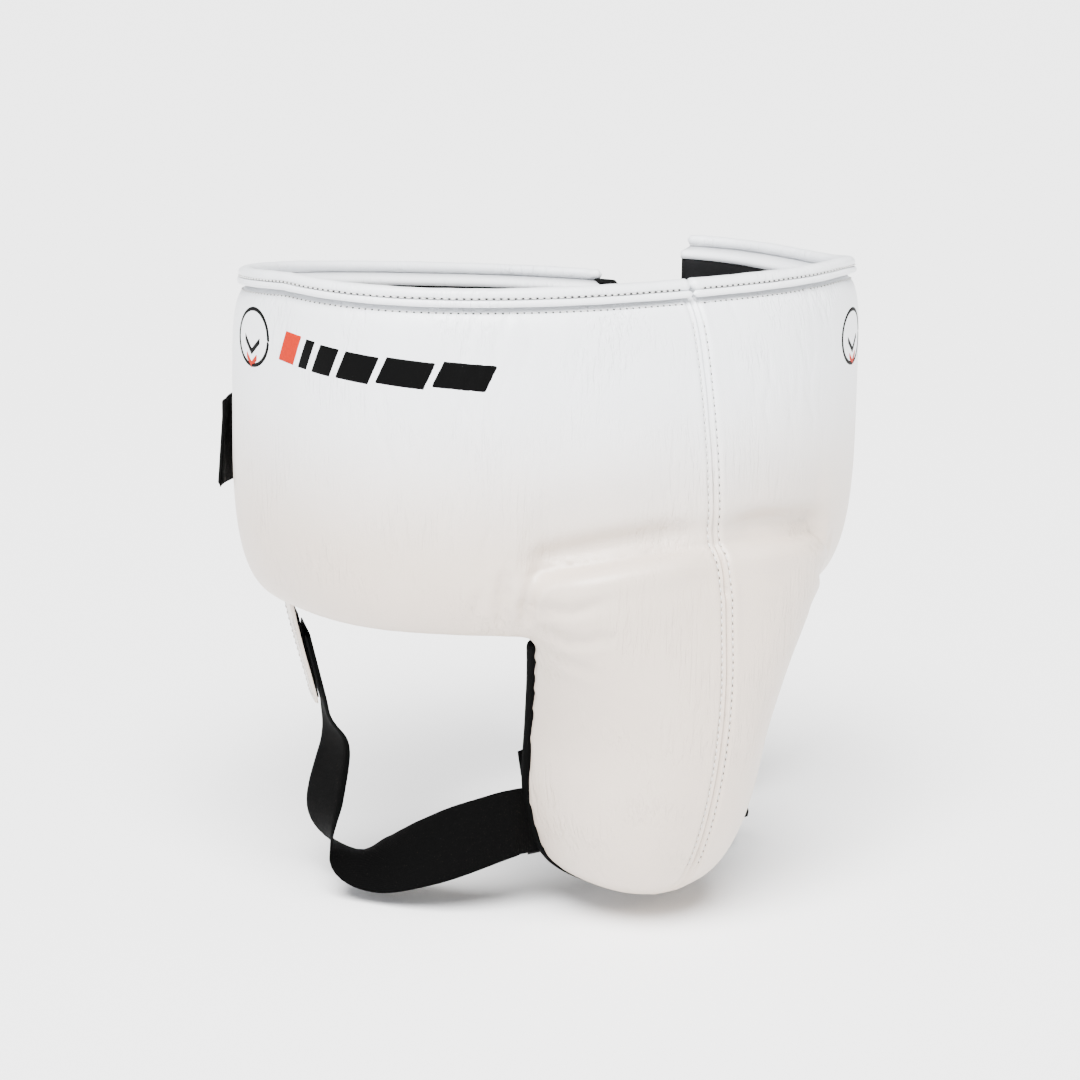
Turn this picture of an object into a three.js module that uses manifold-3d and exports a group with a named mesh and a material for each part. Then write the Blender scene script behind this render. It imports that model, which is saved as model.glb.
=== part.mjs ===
// Boxing groin protector: a padded leather waist pad with a hanging groin cup, a long back flap on the
// wearer's right, an elastic waist closure and two elastic leg straps on leather tabs.
// Millimetres, +Z up. The wearer faces -Y and the wearer's left is +X.
// The origin is the middle of the waist opening, level with the top of the rim at the front.
import * as THREE from 'three';
import { mergeVertices } from 'three/addons/utils/BufferGeometryUtils.js';
import Module from 'manifold-3d';

const wasm = await Module();
wasm.setup();

// ---------------------------------------------------------------- driving dimensions
// Waist line: the outer face of the padding seen from above, a squarish oval.
const waistHalfWidth = 180;
const waistHalfDepth = 132;
const waistSquareness = 2.5;

// Distances along the waist line from the front centre seam.
const leftEndReach = 341;
const flexLineReach = 358;
const rightEndReach = 636;
const flexGap = 0.6;

// Padding section.
const padThickness = 28;
const padDepth = 187;
const topSquareness = 6;
const bottomSquareness = 2.6;
const frontLean = 26;
const leanReach = 165;
const leanDepth = 170;
const flapDepth = 168;
const cornerLength = 30;
const cornerHeight = 14;

// How far the rim sinks below its front height.
const leftRimDrop = 9;
const leftDropStart = 120;
const leftDropLength = 120;
const rightRimDrop = 32;
const rightDropStart = 250;

// Layers.
const leatherThickness = 1.8;
const liningThickness = 1.0;
const layerGap = 0.3;
const tapeThickness = 1.0;
const patchThickness = 1.6;
const elasticThickness = 2.0;
const seamGap = 0.3;

// Rim.
const rollHeight = 7.7;
const rollWidth = 11.4;
const pipingRadius = 1.5;
const rollInset = 12;
const pipingInset = 4.4;

// Groin cup: levels from its top, inside the waist pad, down to its rounded tip. Rise is measured up
// from the padding's hem; front and rear are measured forwards and back from the waist line's front.
const cupLevels = [
  { rise: 59, front: 17, half: 62, rear: 20 },
  { rise: 45, front: 26, half: 82, rear: 18 },
  { rise: 27, front: 33, half: 92, rear: 18 },
  { rise: 1, front: 36, half: 86, rear: 24 },
  { rise: -27, front: 37, half: 75, rear: 39 },
  { rise: -61, front: 34, half: 65, rear: 55 },
  { rise: -93, front: 27, half: 62, rear: 61 },
  { rise: -121, front: 17, half: 56, rear: 62 },
  { rise: -141, front: 5, half: 45, rear: 60 },
  { rise: -153, front: -11, half: 27, rear: 52 },
];
const cupRoundness = 2.4;
const groinFoamThickness = 15.6;
const cupThickness = 3;
const cupShellDrop = 13;

// Waist closure.
const closureWidth = 50;
const closureHeight = -106;
const closureTipReach = 334;
const closureFlare = 4;
const closureFlareLength = 40;
const closurePatchLength = 44;
const closurePatchMargin = 6;
const hookMargin = 2;
const closureHingeGap = 1.5;
const closureHookLength = 95;
const loopFieldWidth = 72;
const loopFieldInset = 14;
const loopFieldLength = 222;

// Leg tabs and leg straps.
const tabReach = 316;
const tabLength = 66;
const tabTilt = 14;
const tabTopWidth = 42;
const tabTipWidth = 26;
const tabHingeDrop = 1.6;
const tabTapeMargin = 3;
const tabTapeTaper = 6;
const tabTipRounding = 3;
const tabPatchHeight = 32;
const tabTapeTop = 10;
const legStrapWidth = 38;
const legStrapMargin = 4;
const legStrapRise = 22;
const legStrapLead = 8;
const legHookLength = 30;
const strapEndFrom = 38;
const strapEndTo = 60;
const strapDrop = 116;

// The free part of a leg strap's middle line, as shares of the way out and back from the strap's sewn end
// to the tab, with its drop below the sewn end and the direction across its width.
const strapRoute = [
  { out: 0.29, back: 0.11, drop: 8, across: [0, 0.1, 1] },
  { out: 0.47, back: 0.3, drop: 21, across: [0.2, 0.3, 0.9] },
  { out: 0.6, back: 0.55, drop: 34, across: [0.4, 0.5, 0.7] },
  { out: 0.69, back: 0.77, drop: 34, across: [0.5, 0.7, 0.4] },
  { out: 0.76, back: 0.89, drop: 12, across: [0.5, 0.85, 0.1] },
];

// ---------------------------------------------------------------- finishes
const finish = (color, roughness) => () => new THREE.MeshStandardMaterial({ color, roughness, metalness: 0 });
const whiteLeather = finish(0xeceae6, 0.45);
const blackNylon = finish(0x17171a, 0.8);
const blackElastic = finish(0x101012, 0.9);
const blackTape = finish(0x0c0c0d, 0.95);
const greyFoam = finish(0x8b8f94, 0.95);
const cupPlastic = finish(0xc9ccd0, 0.35);

// ---------------------------------------------------------------- waist line
// The sign of a value with its size raised to a power: it turns a circle into a squarish oval.
const signedPower = (value, power) => Math.sign(value) * Math.abs(value) ** power;

class WaistLine extends THREE.Curve {
  constructor() {
    super();
    this.arcLengthDivisions = 2400;
  }

  getPoint(t, target = new THREE.Vector3()) {
    const angle = 2 * Math.PI * (t - 0.5);
    const power = 2 / waistSquareness;
    const x = waistHalfWidth * signedPower(Math.sin(angle), power);
    return target.set(x, -waistHalfDepth * signedPower(Math.cos(angle), power), 0);
  }
}
const waistLine = new WaistLine();
const waistLength = waistLine.getLength();

// Point on the waist line at a reach from the front centre, positive towards the wearer's left.
function waistPoint(reach) {
  return waistLine.getPointAt(THREE.MathUtils.euclideanModulo(0.5 + reach / waistLength, 1));
}

function outwardNormal(point) {
  const slope = (value, half) => signedPower(value / half, waistSquareness - 1) / half;
  return new THREE.Vector3(slope(point.x, waistHalfWidth), slope(point.y, waistHalfDepth), 0).normalize();
}

const clamp01 = (value) => THREE.MathUtils.clamp(value, 0, 1);
const smooth = (value) => THREE.MathUtils.smoothstep(value, 0, 1);

// How far the front leans forward at a reach and a height.
function lean(reach, z) {
  const across = Math.cos(0.5 * Math.PI * clamp01(Math.abs(reach) / leanReach)) ** 2;
  return frontLean * across * Math.sin(0.5 * Math.PI * clamp01(-z / leanDepth));
}

// Height of the rim's top at a reach.
function rimTop(reach) {
  if (reach >= 0) {
    return -leftRimDrop * smooth((reach - leftDropStart) / leftDropLength);
  }
  return -rightRimDrop * clamp01((-reach - rightDropStart) / (rightEndReach - rightDropStart));
}

// Height of the padding's top and bottom: the back flap is narrower and both free ends are rounded.
const padTop = (reach) => rimTop(reach) - rollHeight - layerGap;
function padBottom(reach) {
  const alongFlap = clamp01((-reach - flexLineReach) / (rightEndReach - flexLineReach));
  const toEnd = reach >= 0 ? leftEndReach - reach : rightEndReach + reach;
  const corner = cornerHeight * (1 - clamp01(toEnd / cornerLength)) ** 3;
  return -padDepth + (padDepth - flapDepth) * smooth(alongFlap) + corner;
}

// Point of the padding at a station: reach along the waist, depth from the wearer's side outwards, height.
function stationPoint(reach, depth, z) {
  const point = waistPoint(reach);
  point.addScaledVector(outwardNormal(point), depth - padThickness);
  point.y -= lean(reach, z);
  point.z = z;
  return point;
}

// Point of the padding anywhere. The whole waist has one grid of stations with straight runs between
// them, so that layers which start or end between stations still lie parallel.
const waistDivisions = 60;
const stationPitch = waistLength / waistDivisions;
function padPoint(reach, depth, z) {
  const low = Math.floor(reach / stationPitch) * stationPitch;
  const high = low + stationPitch;
  return stationPoint(low, depth, z).lerp(stationPoint(high, depth, z), (reach - low) / stationPitch);
}

// ---------------------------------------------------------------- lofted solids
function signedVolume(positions, faces) {
  const corner = (index) => new THREE.Vector3().fromArray(positions, 3 * index);
  let volume = 0;
  for (let i = 0; i < faces.length; i += 3) {
    volume += corner(faces[i]).dot(corner(faces[i + 1]).cross(corner(faces[i + 2])));
  }
  return volume;
}

// A closed solid through loops of points, one loop for each station. The outline is the loops'
// common shape in two dimensions, from which the end caps are cut. Each four-sided face is split along
// the diagonal that rises from one station to the next, so that layers lie parallel.
function loftLoops(loops, outline) {
  const count = outline.length;
  const positions = loops.flatMap((loop) => loop.flatMap((point) => point.toArray()));
  const faces = [];
  for (let station = 0; station < loops.length - 1; station += 1) {
    for (let corner = 0; corner < count; corner += 1) {
      const next = (corner + 1) % count;
      const a = station * count + corner;
      const b = station * count + next;
      if (loops[station][corner].z <= loops[station][next].z) {
        faces.push(a, b, b + count, a, b + count, a + count);
      } else {
        faces.push(a, b, a + count, b, b + count, a + count);
      }
    }
  }
  const last = (loops.length - 1) * count;
  const turn = Math.sign(THREE.ShapeUtils.area(outline));
  for (const triangle of THREE.ShapeUtils.triangulateShape(outline, [])) {
    const same = Math.sign(THREE.ShapeUtils.area(triangle.map((index) => outline[index]))) === turn;
    const [a, b, c] = same ? triangle : [...triangle].reverse();
    faces.push(a, c, b);
    faces.push(last + a, last + b, last + c);
  }
  const geometry = new THREE.BufferGeometry();
  geometry.setAttribute('position', new THREE.Float32BufferAttribute(positions, 3));
  geometry.setIndex(signedVolume(positions, faces) < 0 ? faces.reverse() : faces);
  return geometry;
}

// Stations from one reach to another: both ends and every station of the grid between them.
const stationMargin = 0.04;
function stations(from, to) {
  const inner = [];
  const first = Math.ceil(from / stationPitch + stationMargin);
  const last = to / stationPitch - stationMargin;
  for (let index = first; index < last; index += 1) {
    inner.push(index * stationPitch);
  }
  return [from, ...inner, to];
}

// Sweeps a section of [depth, height] points along the waist. The section may change with reach.
function sweepWaist(from, to, section) {
  const outline = section(from).map(([depth, z]) => new THREE.Vector2(depth, z));
  const place = (reach) => section(reach).map(([depth, z]) => padPoint(reach, depth, z));
  return loftLoops(stations(from, to).map(place), outline);
}

// Half-pillow arc from the bottom to the top of the padding, pulled in by inset.
const pillowSteps = 8;
function pillowArc(reach, inset) {
  const back = liningThickness + layerGap;
  const top = padTop(reach) - inset;
  const bottom = padBottom(reach) + inset;
  const swell = padThickness - back - inset;
  return Array.from({ length: pillowSteps + 1 }, (_, step) => {
    const angle = Math.PI * (step / pillowSteps - 0.5);
    const power = 2 / (angle > 0 ? topSquareness : bottomSquareness);
    const up = signedPower(Math.sin(angle), power);
    return [back + swell * Math.abs(Math.cos(angle)) ** power, (top + bottom + (top - bottom) * up) / 2];
  });
}

const leatherSection = (reach) => [...pillowArc(reach, 0), ...pillowArc(reach, leatherThickness).reverse()];
const pillowSection = (inset) => (reach) => pillowArc(reach, inset);

// A pillow that runs on behind the padding, for cutting.
const cutterSection = (inset, behind) => (reach) => {
  const arc = pillowArc(reach, inset);
  return [[-behind, arc[0][1]], ...arc, [-behind, arc[pillowSteps][1]]];
};

const bandSection = (depth, thickness, bottom, top) => [
  [depth, bottom],
  [depth + thickness, bottom],
  [depth + thickness, top],
  [depth, top],
];
const liningSection = (reach) =>
  bandSection(0, liningThickness, padBottom(reach) + leatherThickness, padTop(reach) - leatherThickness);

// Height of the padding's upper face at a depth.
function pillowHeight(reach, depth) {
  const upper = pillowArc(reach, 0).slice(pillowSteps / 2);
  const index = upper.findIndex(([at]) => at <= depth);
  const [[outerDepth, low], [innerDepth, high]] = [upper[index - 1], upper[index]];
  return THREE.MathUtils.mapLinear(depth, outerDepth, innerDepth, low, high);
}

const roundSection = (depth, middle, halfWidth, halfHeight, sides) => (reach) =>
  Array.from({ length: sides }, (_, index) => {
    const angle = (2 * Math.PI * index) / sides;
    return [depth + halfWidth * Math.cos(angle), middle(reach) + halfHeight * Math.sin(angle)];
  });
const rollMiddle = (reach) => rimTop(reach) - rollHeight / 2;
const rollSection = roundSection(padThickness - rollInset, rollMiddle, rollWidth / 2, rollHeight / 2, 10);
const pipingDepth = padThickness - pipingInset;
const pipingMiddle = (reach) => pillowHeight(reach, pipingDepth - pipingRadius) + pipingRadius + layerGap;
const pipingSection = roundSection(pipingDepth, pipingMiddle, pipingRadius, pipingRadius, 6);

// ---------------------------------------------------------------- booleans
function toManifold(geometry) {
  const bare = geometry.clone();
  bare.deleteAttribute('normal');
  bare.deleteAttribute('uv');
  const merged = mergeVertices(bare, 1e-4);
  return new wasm.Manifold(new wasm.Mesh({
    numProp: 3,
    vertProperties: new Float32Array(merged.attributes.position.array),
    triVerts: new Uint32Array(merged.index.array),
  }));
}

function toGeometry(manifold) {
  const mesh = manifold.getMesh();
  const geometry = new THREE.BufferGeometry();
  geometry.setAttribute('position', new THREE.BufferAttribute(new Float32Array(mesh.vertProperties), 3));
  geometry.setIndex(new THREE.BufferAttribute(new Uint32Array(mesh.triVerts), 1));
  return geometry;
}

const farAway = 600;
function block(low, high) {
  const geometry = new THREE.BoxGeometry(...high.map((value, axis) => value - low[axis]));
  geometry.translate(...high.map((value, axis) => (value + low[axis]) / 2));
  return toManifold(geometry);
}

// ---------------------------------------------------------------- groin cup
const cupArcSteps = 14;
const cupTipLevels = 3;
const smallestHalf = 3;
const cupPlaces = cupLevels.map(({ rise, front, half, rear }) => ({
  z: rise - padDepth,
  front: -waistHalfDepth - front,
  half,
  rear: rear - waistHalfDepth,
}));

// A solid D-shaped lobe, pulled in from its face by inset, with its flat rear moved back by behind.
function lobe(inset, behind) {
  const loops = cupPlaces.map((level, index) => {
    const fromTip = cupPlaces.length - 1 - index;
    const z = level.z + inset * (1 - smooth(fromTip / cupTipLevels)) + (index === 0 ? inset : 0);
    const half = Math.max(smallestHalf, level.half - inset);
    const bulge = Math.max(smallestHalf, level.rear - level.front - inset);
    const rear = level.rear + behind;
    const arc = Array.from({ length: cupArcSteps + 1 }, (_, step) => {
      const angle = (Math.PI * step) / cupArcSteps;
      const y = level.rear - bulge * signedPower(Math.sin(angle), 2 / cupRoundness);
      return new THREE.Vector3(half * signedPower(Math.cos(angle), 2 / cupRoundness), Math.min(y, rear), z);
    });
    const behindArc = rear + layerGap;
    return [...arc, new THREE.Vector3(-half, behindArc, z), new THREE.Vector3(half, behindArc, z)];
  });
  return loftLoops(loops, loops[0].map((point) => new THREE.Vector2(point.x, point.y)));
}

// Rear edge of the cup at a height.
function cupRear(z) {
  const index = cupPlaces.findIndex((level) => level.z <= z);
  const [above, level] = [cupPlaces[index - 1], cupPlaces[index]];
  return THREE.MathUtils.mapLinear(z, above.z, level.z, above.rear, level.rear);
}

// ---------------------------------------------------------------- straps
// A flat strap along a path. The across directions turn with it; shift moves it along its own face.
function ribbon(path, acrossPath, { from = 0, to = 1, steps = 24, width, thickness, shift = 0 }) {
  const corners = [[-1, -1], [1, -1], [1, 1], [-1, 1]];
  const loops = Array.from({ length: steps + 1 }, (_, step) => {
    const t = from + ((to - from) * step) / steps;
    const tangent = path.getTangentAt(t);
    const across = acrossPath.getPoint(path.getUtoTmapping(t)).normalize();
    const face = new THREE.Vector3().crossVectors(tangent, across).normalize();
    const side = new THREE.Vector3().crossVectors(face, tangent).normalize();
    return corners.map(([u, v]) => path.getPointAt(t)
      .addScaledVector(side, (u * width) / 2)
      .addScaledVector(face, shift + (v * thickness) / 2));
  });
  return loftLoops(loops, corners.map(([u, v]) => new THREE.Vector2(u, v)));
}

// ---------------------------------------------------------------- assembly
const protector = new THREE.Group();
function add(name, geometry, material, parent = protector) {
  const mesh = new THREE.Mesh(geometry, material());
  mesh.name = name;
  parent.add(mesh);
}

// Waist pad: two leather panels over waist foam and groin foam, joined at the centre seam.
const frontFrom = -flexLineReach + flexGap / 2;
const frontTo = leftEndReach;
const pastEnd = 1;
const behindPad = 40;
const waistFull = toManifold(sweepWaist(frontFrom, frontTo, pillowSection(0)));
const waistCutter = (inset) =>
  toManifold(sweepWaist(frontFrom - pastEnd, frontTo + pastEnd, cutterSection(inset, behindPad)));
const cover = waistFull
  .add(toManifold(lobe(0, 0)))
  .subtract(waistCutter(leatherThickness))
  .subtract(toManifold(lobe(leatherThickness, behindPad)));
for (const [name, side] of [['front_leather_right', -1], ['front_leather_left', 1]]) {
  const low = side < 0 ? -farAway : seamGap / 2;
  const half = block([low, -farAway, -farAway], [low + farAway - seamGap / 2, farAway, farAway]);
  add(name, toGeometry(cover.intersect(half)), whiteLeather);
}
add('waist_foam', sweepWaist(frontFrom, frontTo, pillowSection(leatherThickness + layerGap)), greyFoam);
add('waist_lining', sweepWaist(frontFrom, frontTo, liningSection), blackNylon);
add('rim_binding', sweepWaist(frontFrom, frontTo, rollSection), whiteLeather);
add('rim_piping', sweepWaist(frontFrom, frontTo, pipingSection), whiteLeather);

// Groin cup: foam, a hard cup, and a lining whose edge covers the ends of both.
const foamInset = leatherThickness + layerGap;
const cupInset = foamInset + groinFoamThickness + 2 * layerGap;
const cupLiningInset = cupInset + cupThickness + layerGap;
const edgeInset = liningThickness + layerGap;
const cupWall = (inset, thickness, behind) =>
  toManifold(lobe(inset, behind)).subtract(toManifold(lobe(inset + thickness, behindPad)));
const belowWaist = (solid) => toGeometry(solid.subtract(waistCutter(leatherThickness)));
const coreInset = foamInset - 2 * layerGap;
const liningEdge = cupWall(foamInset, cupLiningInset + liningThickness - foamInset, 0);
const liningCore = cupWall(coreInset, cupLiningInset - coreInset, -liningThickness);
const cupRoom = block([-farAway, -farAway, -farAway], [farAway, farAway, -padDepth - cupShellDrop]);
add('groin_foam', belowWaist(cupWall(foamInset, groinFoamThickness, -edgeInset)), greyFoam);
add('groin_cup', toGeometry(cupWall(cupInset, cupThickness, -2 * edgeInset).intersect(cupRoom)), cupPlastic);
add('cup_lining', belowWaist(liningEdge.subtract(liningCore)), blackNylon);

// Back flap: the long end on the wearer's right, a pad of its own behind the flex line.
const flapFrom = -rightEndReach;
const flapTo = -flexLineReach - flexGap / 2;
add('flap_leather', sweepWaist(flapFrom, flapTo, leatherSection), whiteLeather);
add('flap_foam', sweepWaist(flapFrom, flapTo, pillowSection(leatherThickness + layerGap)), greyFoam);
add('flap_lining', sweepWaist(flapFrom, flapTo, liningSection), blackNylon);
add('flap_binding', sweepWaist(flapFrom, flapTo, rollSection), whiteLeather);
add('flap_piping', sweepWaist(flapFrom, flapTo, pipingSection), whiteLeather);

// Waist closure: an elastic strap sewn to the left end, over a loop field on the flap.
const strip = (depth, thickness, width) => () =>
  bandSection(depth, thickness, closureHeight - width / 2, closureHeight + width / 2);
const loopDepth = padThickness + layerGap;
const hookDepth = loopDepth + tapeThickness + layerGap;
const closureDepth = hookDepth + tapeThickness + layerGap;
const closureTip = waistLength - closureTipReach;
const flare = (reach) => closureFlare * smooth(1 - (closureTip - reach) / closureFlareLength);
const flared = (depth, thickness, width) => (reach) => strip(depth + flare(reach), thickness, width)();
const loopFrom = flapFrom + loopFieldInset;
add('loop_field',
  sweepWaist(loopFrom, loopFrom + loopFieldLength, strip(loopDepth, tapeThickness, loopFieldWidth)),
  blackTape);
const patchTo = leftEndReach - 2 * layerGap;
add('closure_patch',
  sweepWaist(patchTo - closurePatchLength, patchTo,
    strip(loopDepth, patchThickness, closureWidth + 2 * closurePatchMargin)),
  whiteLeather);
add('closure_strap',
  sweepWaist(leftEndReach + closureHingeGap, closureTip,
    flared(closureDepth, elasticThickness, closureWidth)),
  blackElastic);
const hookTo = closureTip - hookMargin;
add('closure_hook',
  sweepWaist(hookTo - closureHookLength, hookTo,
    flared(hookDepth, tapeThickness, closureWidth - 2 * hookMargin)),
  blackTape);

// Leg tabs hang from sewn patches; leg straps run from the cup's rear edge round to the tabs.
const tabOuter = -layerGap;
const tabInner = tabOuter - patchThickness;
const tabTape = tabInner - layerGap - tapeThickness;
const legHook = tabTape - layerGap - tapeThickness;
const legElastic = legHook - layerGap - elasticThickness;

// A flat plate in the plane of the padding at a tab: it tapers from its top to a rounded tip.
function tabPlate(topWidth, tipWidth, top, bottom, thickness) {
  const radius = tipWidth / tabTipRounding;
  const outline = new THREE.Shape();
  outline.moveTo(-topWidth / 2, top);
  outline.lineTo(-tipWidth / 2, bottom + radius);
  outline.quadraticCurveTo(-tipWidth / 2, bottom, -tipWidth / 2 + radius, bottom);
  outline.lineTo(tipWidth / 2 - radius, bottom);
  outline.quadraticCurveTo(tipWidth / 2, bottom, tipWidth / 2, bottom + radius);
  outline.lineTo(topWidth / 2, top);
  return new THREE.ExtrudeGeometry(outline, { depth: thickness, bevelEnabled: false, curveSegments: 4 });
}

const strapHeight = -padDepth - strapDrop;
const strapFace = cupRear(strapHeight) + 3 * layerGap;
for (const [side, name] of [[-1, 'right'], [1, 'left']]) {
  const reach = side * tabReach;
  const hem = padBottom(reach);
  const patchFrom = reach - tabTopWidth / 2;
  add(`leg_tab_patch_${name}`, sweepWaist(patchFrom, patchFrom + tabTopWidth, () =>
    bandSection(tabInner, patchThickness, hem, hem + tabPatchHeight)), whiteLeather);

  // The tab's own frame: x along the waist, y up and z outwards, at the hem on the wearer's side.
  const frame = new THREE.Group();
  const outwards = outwardNormal(waistPoint(reach));
  const along = new THREE.Vector3(0, 0, 1).cross(outwards);
  frame.matrixAutoUpdate = false;
  frame.matrix.makeBasis(along, new THREE.Vector3(0, 0, 1), outwards);
  frame.matrix.multiply(new THREE.Matrix4().makeRotationX(THREE.MathUtils.degToRad(tabTilt)));
  frame.matrix.setPosition(padPoint(reach, 0, hem));
  protector.add(frame);
  const tab = tabPlate(tabTopWidth, tabTipWidth, -tabHingeDrop, -tabLength, patchThickness);
  add(`leg_tab_${name}`, tab.translate(0, 0, tabInner), whiteLeather, frame);
  const tape = tabPlate(tabTopWidth - 2 * tabTapeMargin - tabTapeTaper, tabTipWidth - 2 * tabTapeMargin,
    -tabTapeTop, -tabLength + tabTapeMargin, tapeThickness);
  add(`leg_tab_tape_${name}`, tape.translate(0, 0, tabTape), blackTape, frame);

  // The strap's sewn end on the cup's rear edge, under a leather patch.
  const sewn = (from, to, depth, thickness, height) => {
    const [low, high] = [side * from, side * to].sort((a, b) => a - b);
    const geometry = new THREE.BoxGeometry(high - low, thickness, height);
    return geometry.translate((low + high) / 2, strapFace + depth + thickness / 2, strapHeight);
  };
  add(`strap_end_${name}`, sewn(strapEndFrom, strapEndTo, 0, elasticThickness, legStrapWidth), blackElastic);
  add(`strap_patch_${name}`,
    sewn(strapEndFrom - legStrapMargin, strapEndTo - legStrapMargin, elasticThickness + layerGap,
      patchThickness, legStrapWidth + legStrapMargin), blackNylon);

  // The strap's middle line, from the cup's rear edge round the leg to the inner face of the tab, and the
  // directions across its width.
  const hinge = new THREE.Vector3().setFromMatrixPosition(frame.matrix);
  const sewnAt = (x) => new THREE.Vector3(side * x, strapFace + elasticThickness / 2, strapHeight);
  const strapLevel = legElastic + elasticThickness / 2;
  const onTab = (drop) => new THREE.Vector3(0, -drop, strapLevel).applyMatrix4(frame.matrix);
  const start = sewnAt(strapEndTo + closureHingeGap);
  const upright = new THREE.Vector3(0, 0, 1);
  const rearwards = along.clone().multiplyScalar(side);
  const free = strapRoute.map(({ out, back, drop, across: [x, y, z] }) => [
    new THREE.Vector3(
      THREE.MathUtils.lerp(start.x, hinge.x, out),
      THREE.MathUtils.lerp(start.y, hinge.y, back),
      strapHeight - drop,
    ),
    new THREE.Vector3(side * x, y, z),
  ]);
  const route = [
    [start, upright],
    [sewnAt(strapEndTo + legStrapLead), upright],
    ...free,
    [onTab(1.4 * tabLength), new THREE.Vector3(side * 0.3, 0.95, 0)],
    [onTab(1.1 * tabLength), rearwards],
    [onTab(0.9 * tabLength), rearwards],
    [onTab(legStrapRise), rearwards],
  ];
  const path = new THREE.CatmullRomCurve3(route.map(([point]) => point), false, 'centripetal');
  const across = new THREE.CatmullRomCurve3(route.map(([, turn]) => turn), false, 'centripetal');
  const strap = { width: legStrapWidth, thickness: elasticThickness };
  add(`leg_strap_${name}`, ribbon(path, across, strap), blackElastic);
  const hook = {
    from: 1 - (legHookLength + legStrapMargin / 2) / path.getLength(),
    to: 1 - legStrapMargin / 2 / path.getLength(),
    steps: 4,
    width: legStrapWidth - legStrapMargin,
    thickness: tapeThickness,
    shift: -side * (elasticThickness / 2 + layerGap + tapeThickness / 2),
  };
  add(`leg_hook_${name}`, ribbon(path, across, hook), blackTape);
}

export default protector;
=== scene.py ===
"""Boxing groin protector in padded white leather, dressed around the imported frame.

The wearer faces -Y, +Z is up and +X is the wearer's left. Sizes in the classes are millimetres, places
along the waist are "reaches" measured from the front centre seam (positive towards the wearer's left), and
meshes are written in metres.
"""

import logging
import math
from contextlib import contextmanager
from dataclasses import dataclass, field
from enum import Enum
from typing import Callable, Iterator, Optional, Sequence

import bmesh
import bpy
import numpy as np
from mathutils import Matrix, Vector
from mathutils.bvhtree import BVHTree


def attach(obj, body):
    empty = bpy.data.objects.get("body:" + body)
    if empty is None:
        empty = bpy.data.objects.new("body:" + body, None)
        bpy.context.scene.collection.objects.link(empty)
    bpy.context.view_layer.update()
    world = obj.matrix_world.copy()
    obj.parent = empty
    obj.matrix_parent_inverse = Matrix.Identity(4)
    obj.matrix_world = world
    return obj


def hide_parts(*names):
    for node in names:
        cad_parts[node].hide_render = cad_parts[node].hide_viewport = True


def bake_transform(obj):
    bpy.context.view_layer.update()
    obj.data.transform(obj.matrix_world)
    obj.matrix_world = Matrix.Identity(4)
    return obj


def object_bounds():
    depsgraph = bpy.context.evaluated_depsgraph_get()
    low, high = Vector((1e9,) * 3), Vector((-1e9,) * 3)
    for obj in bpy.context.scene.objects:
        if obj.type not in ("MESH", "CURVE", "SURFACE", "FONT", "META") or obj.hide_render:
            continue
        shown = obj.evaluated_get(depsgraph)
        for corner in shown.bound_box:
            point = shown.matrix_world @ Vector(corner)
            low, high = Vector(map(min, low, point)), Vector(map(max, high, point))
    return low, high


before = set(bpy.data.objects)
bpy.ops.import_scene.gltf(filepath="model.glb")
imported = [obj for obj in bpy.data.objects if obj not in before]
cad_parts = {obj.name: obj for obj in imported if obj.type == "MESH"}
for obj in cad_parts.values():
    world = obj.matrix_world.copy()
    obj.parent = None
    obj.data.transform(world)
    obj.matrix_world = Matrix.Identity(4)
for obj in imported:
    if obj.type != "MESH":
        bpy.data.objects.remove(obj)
CAD_BOX = [list(corner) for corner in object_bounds()]

MM = 0.001
LOG = logging.getLogger("groin_protector")
BLACK, WHITE = (0, 0, 0, 1), (1, 1, 1, 1)
Array = np.ndarray
Socket = bpy.types.NodeSocket
Tree = bpy.types.NodeTree


class Side(Enum):
    """A side of the wearer, with its sign along X."""

    RIGHT = -1
    LEFT = 1

    @property
    def label(self) -> str:
        """The side's name in node names."""
        return self.name.lower()


# ---------------------------------------------------------------- small maths
def signed_power(value: Array, power: float) -> Array:
    """Raises sizes to a power and keeps signs, which turns a circle into a squarish oval."""
    return np.sign(value) * np.abs(value) ** power


def smooth(value: Array) -> Array:
    """Smooth step from 0 to 1."""
    value = np.clip(value, 0.0, 1.0)
    return value * value * (3.0 - 2.0 * value)


def bell(value: Array, width: float) -> Array:
    """A bell curve of height 1 at 0 that falls away over width."""
    return np.exp(-((value / width) ** 2))


def unit(vectors: Array) -> Array:
    """Vectors at length 1."""
    return vectors / np.maximum(np.linalg.norm(vectors, axis=-1, keepdims=True), 1e-9)


def distances(line: Array) -> Array:
    """The distance along a line at each of its points."""
    return np.concatenate([[0.0], np.cumsum(np.linalg.norm(np.diff(line, axis=0), axis=1))])


def sampled(rows: Array, along: Array, at: Array) -> Array:
    """Rows known at some distances along a line, read at others."""
    return np.stack([np.interp(at, along, column) for column in rows.T], axis=1)


def through(points: Array, count: int, density: int = 24) -> Array:
    """A smooth curve through points, as count rows spaced evenly along its length.

    Args:
        points: Control rows; the first three columns give the length.
        count: Rows wanted.
        density: Steps between two control rows.

    Returns:
        The curve's rows.
    """
    padded = np.vstack([2 * points[0] - points[1], points, 2 * points[-1] - points[-2]])
    fine = []
    for a, b, c, d in zip(padded, padded[1:], padded[2:], padded[3:]):
        for t in np.linspace(0, 1, density, endpoint=False):
            fine.append(0.5 * (2 * b + (c - a) * t + (2 * a - 5 * b + 4 * c - d) * t * t
                               + (3 * b - a - 3 * c + d) * t ** 3))
    fine = np.array(fine + [points[-1]])
    along = distances(fine[:, :3])
    return sampled(fine, along, np.linspace(0.0, along[-1], count))


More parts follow.
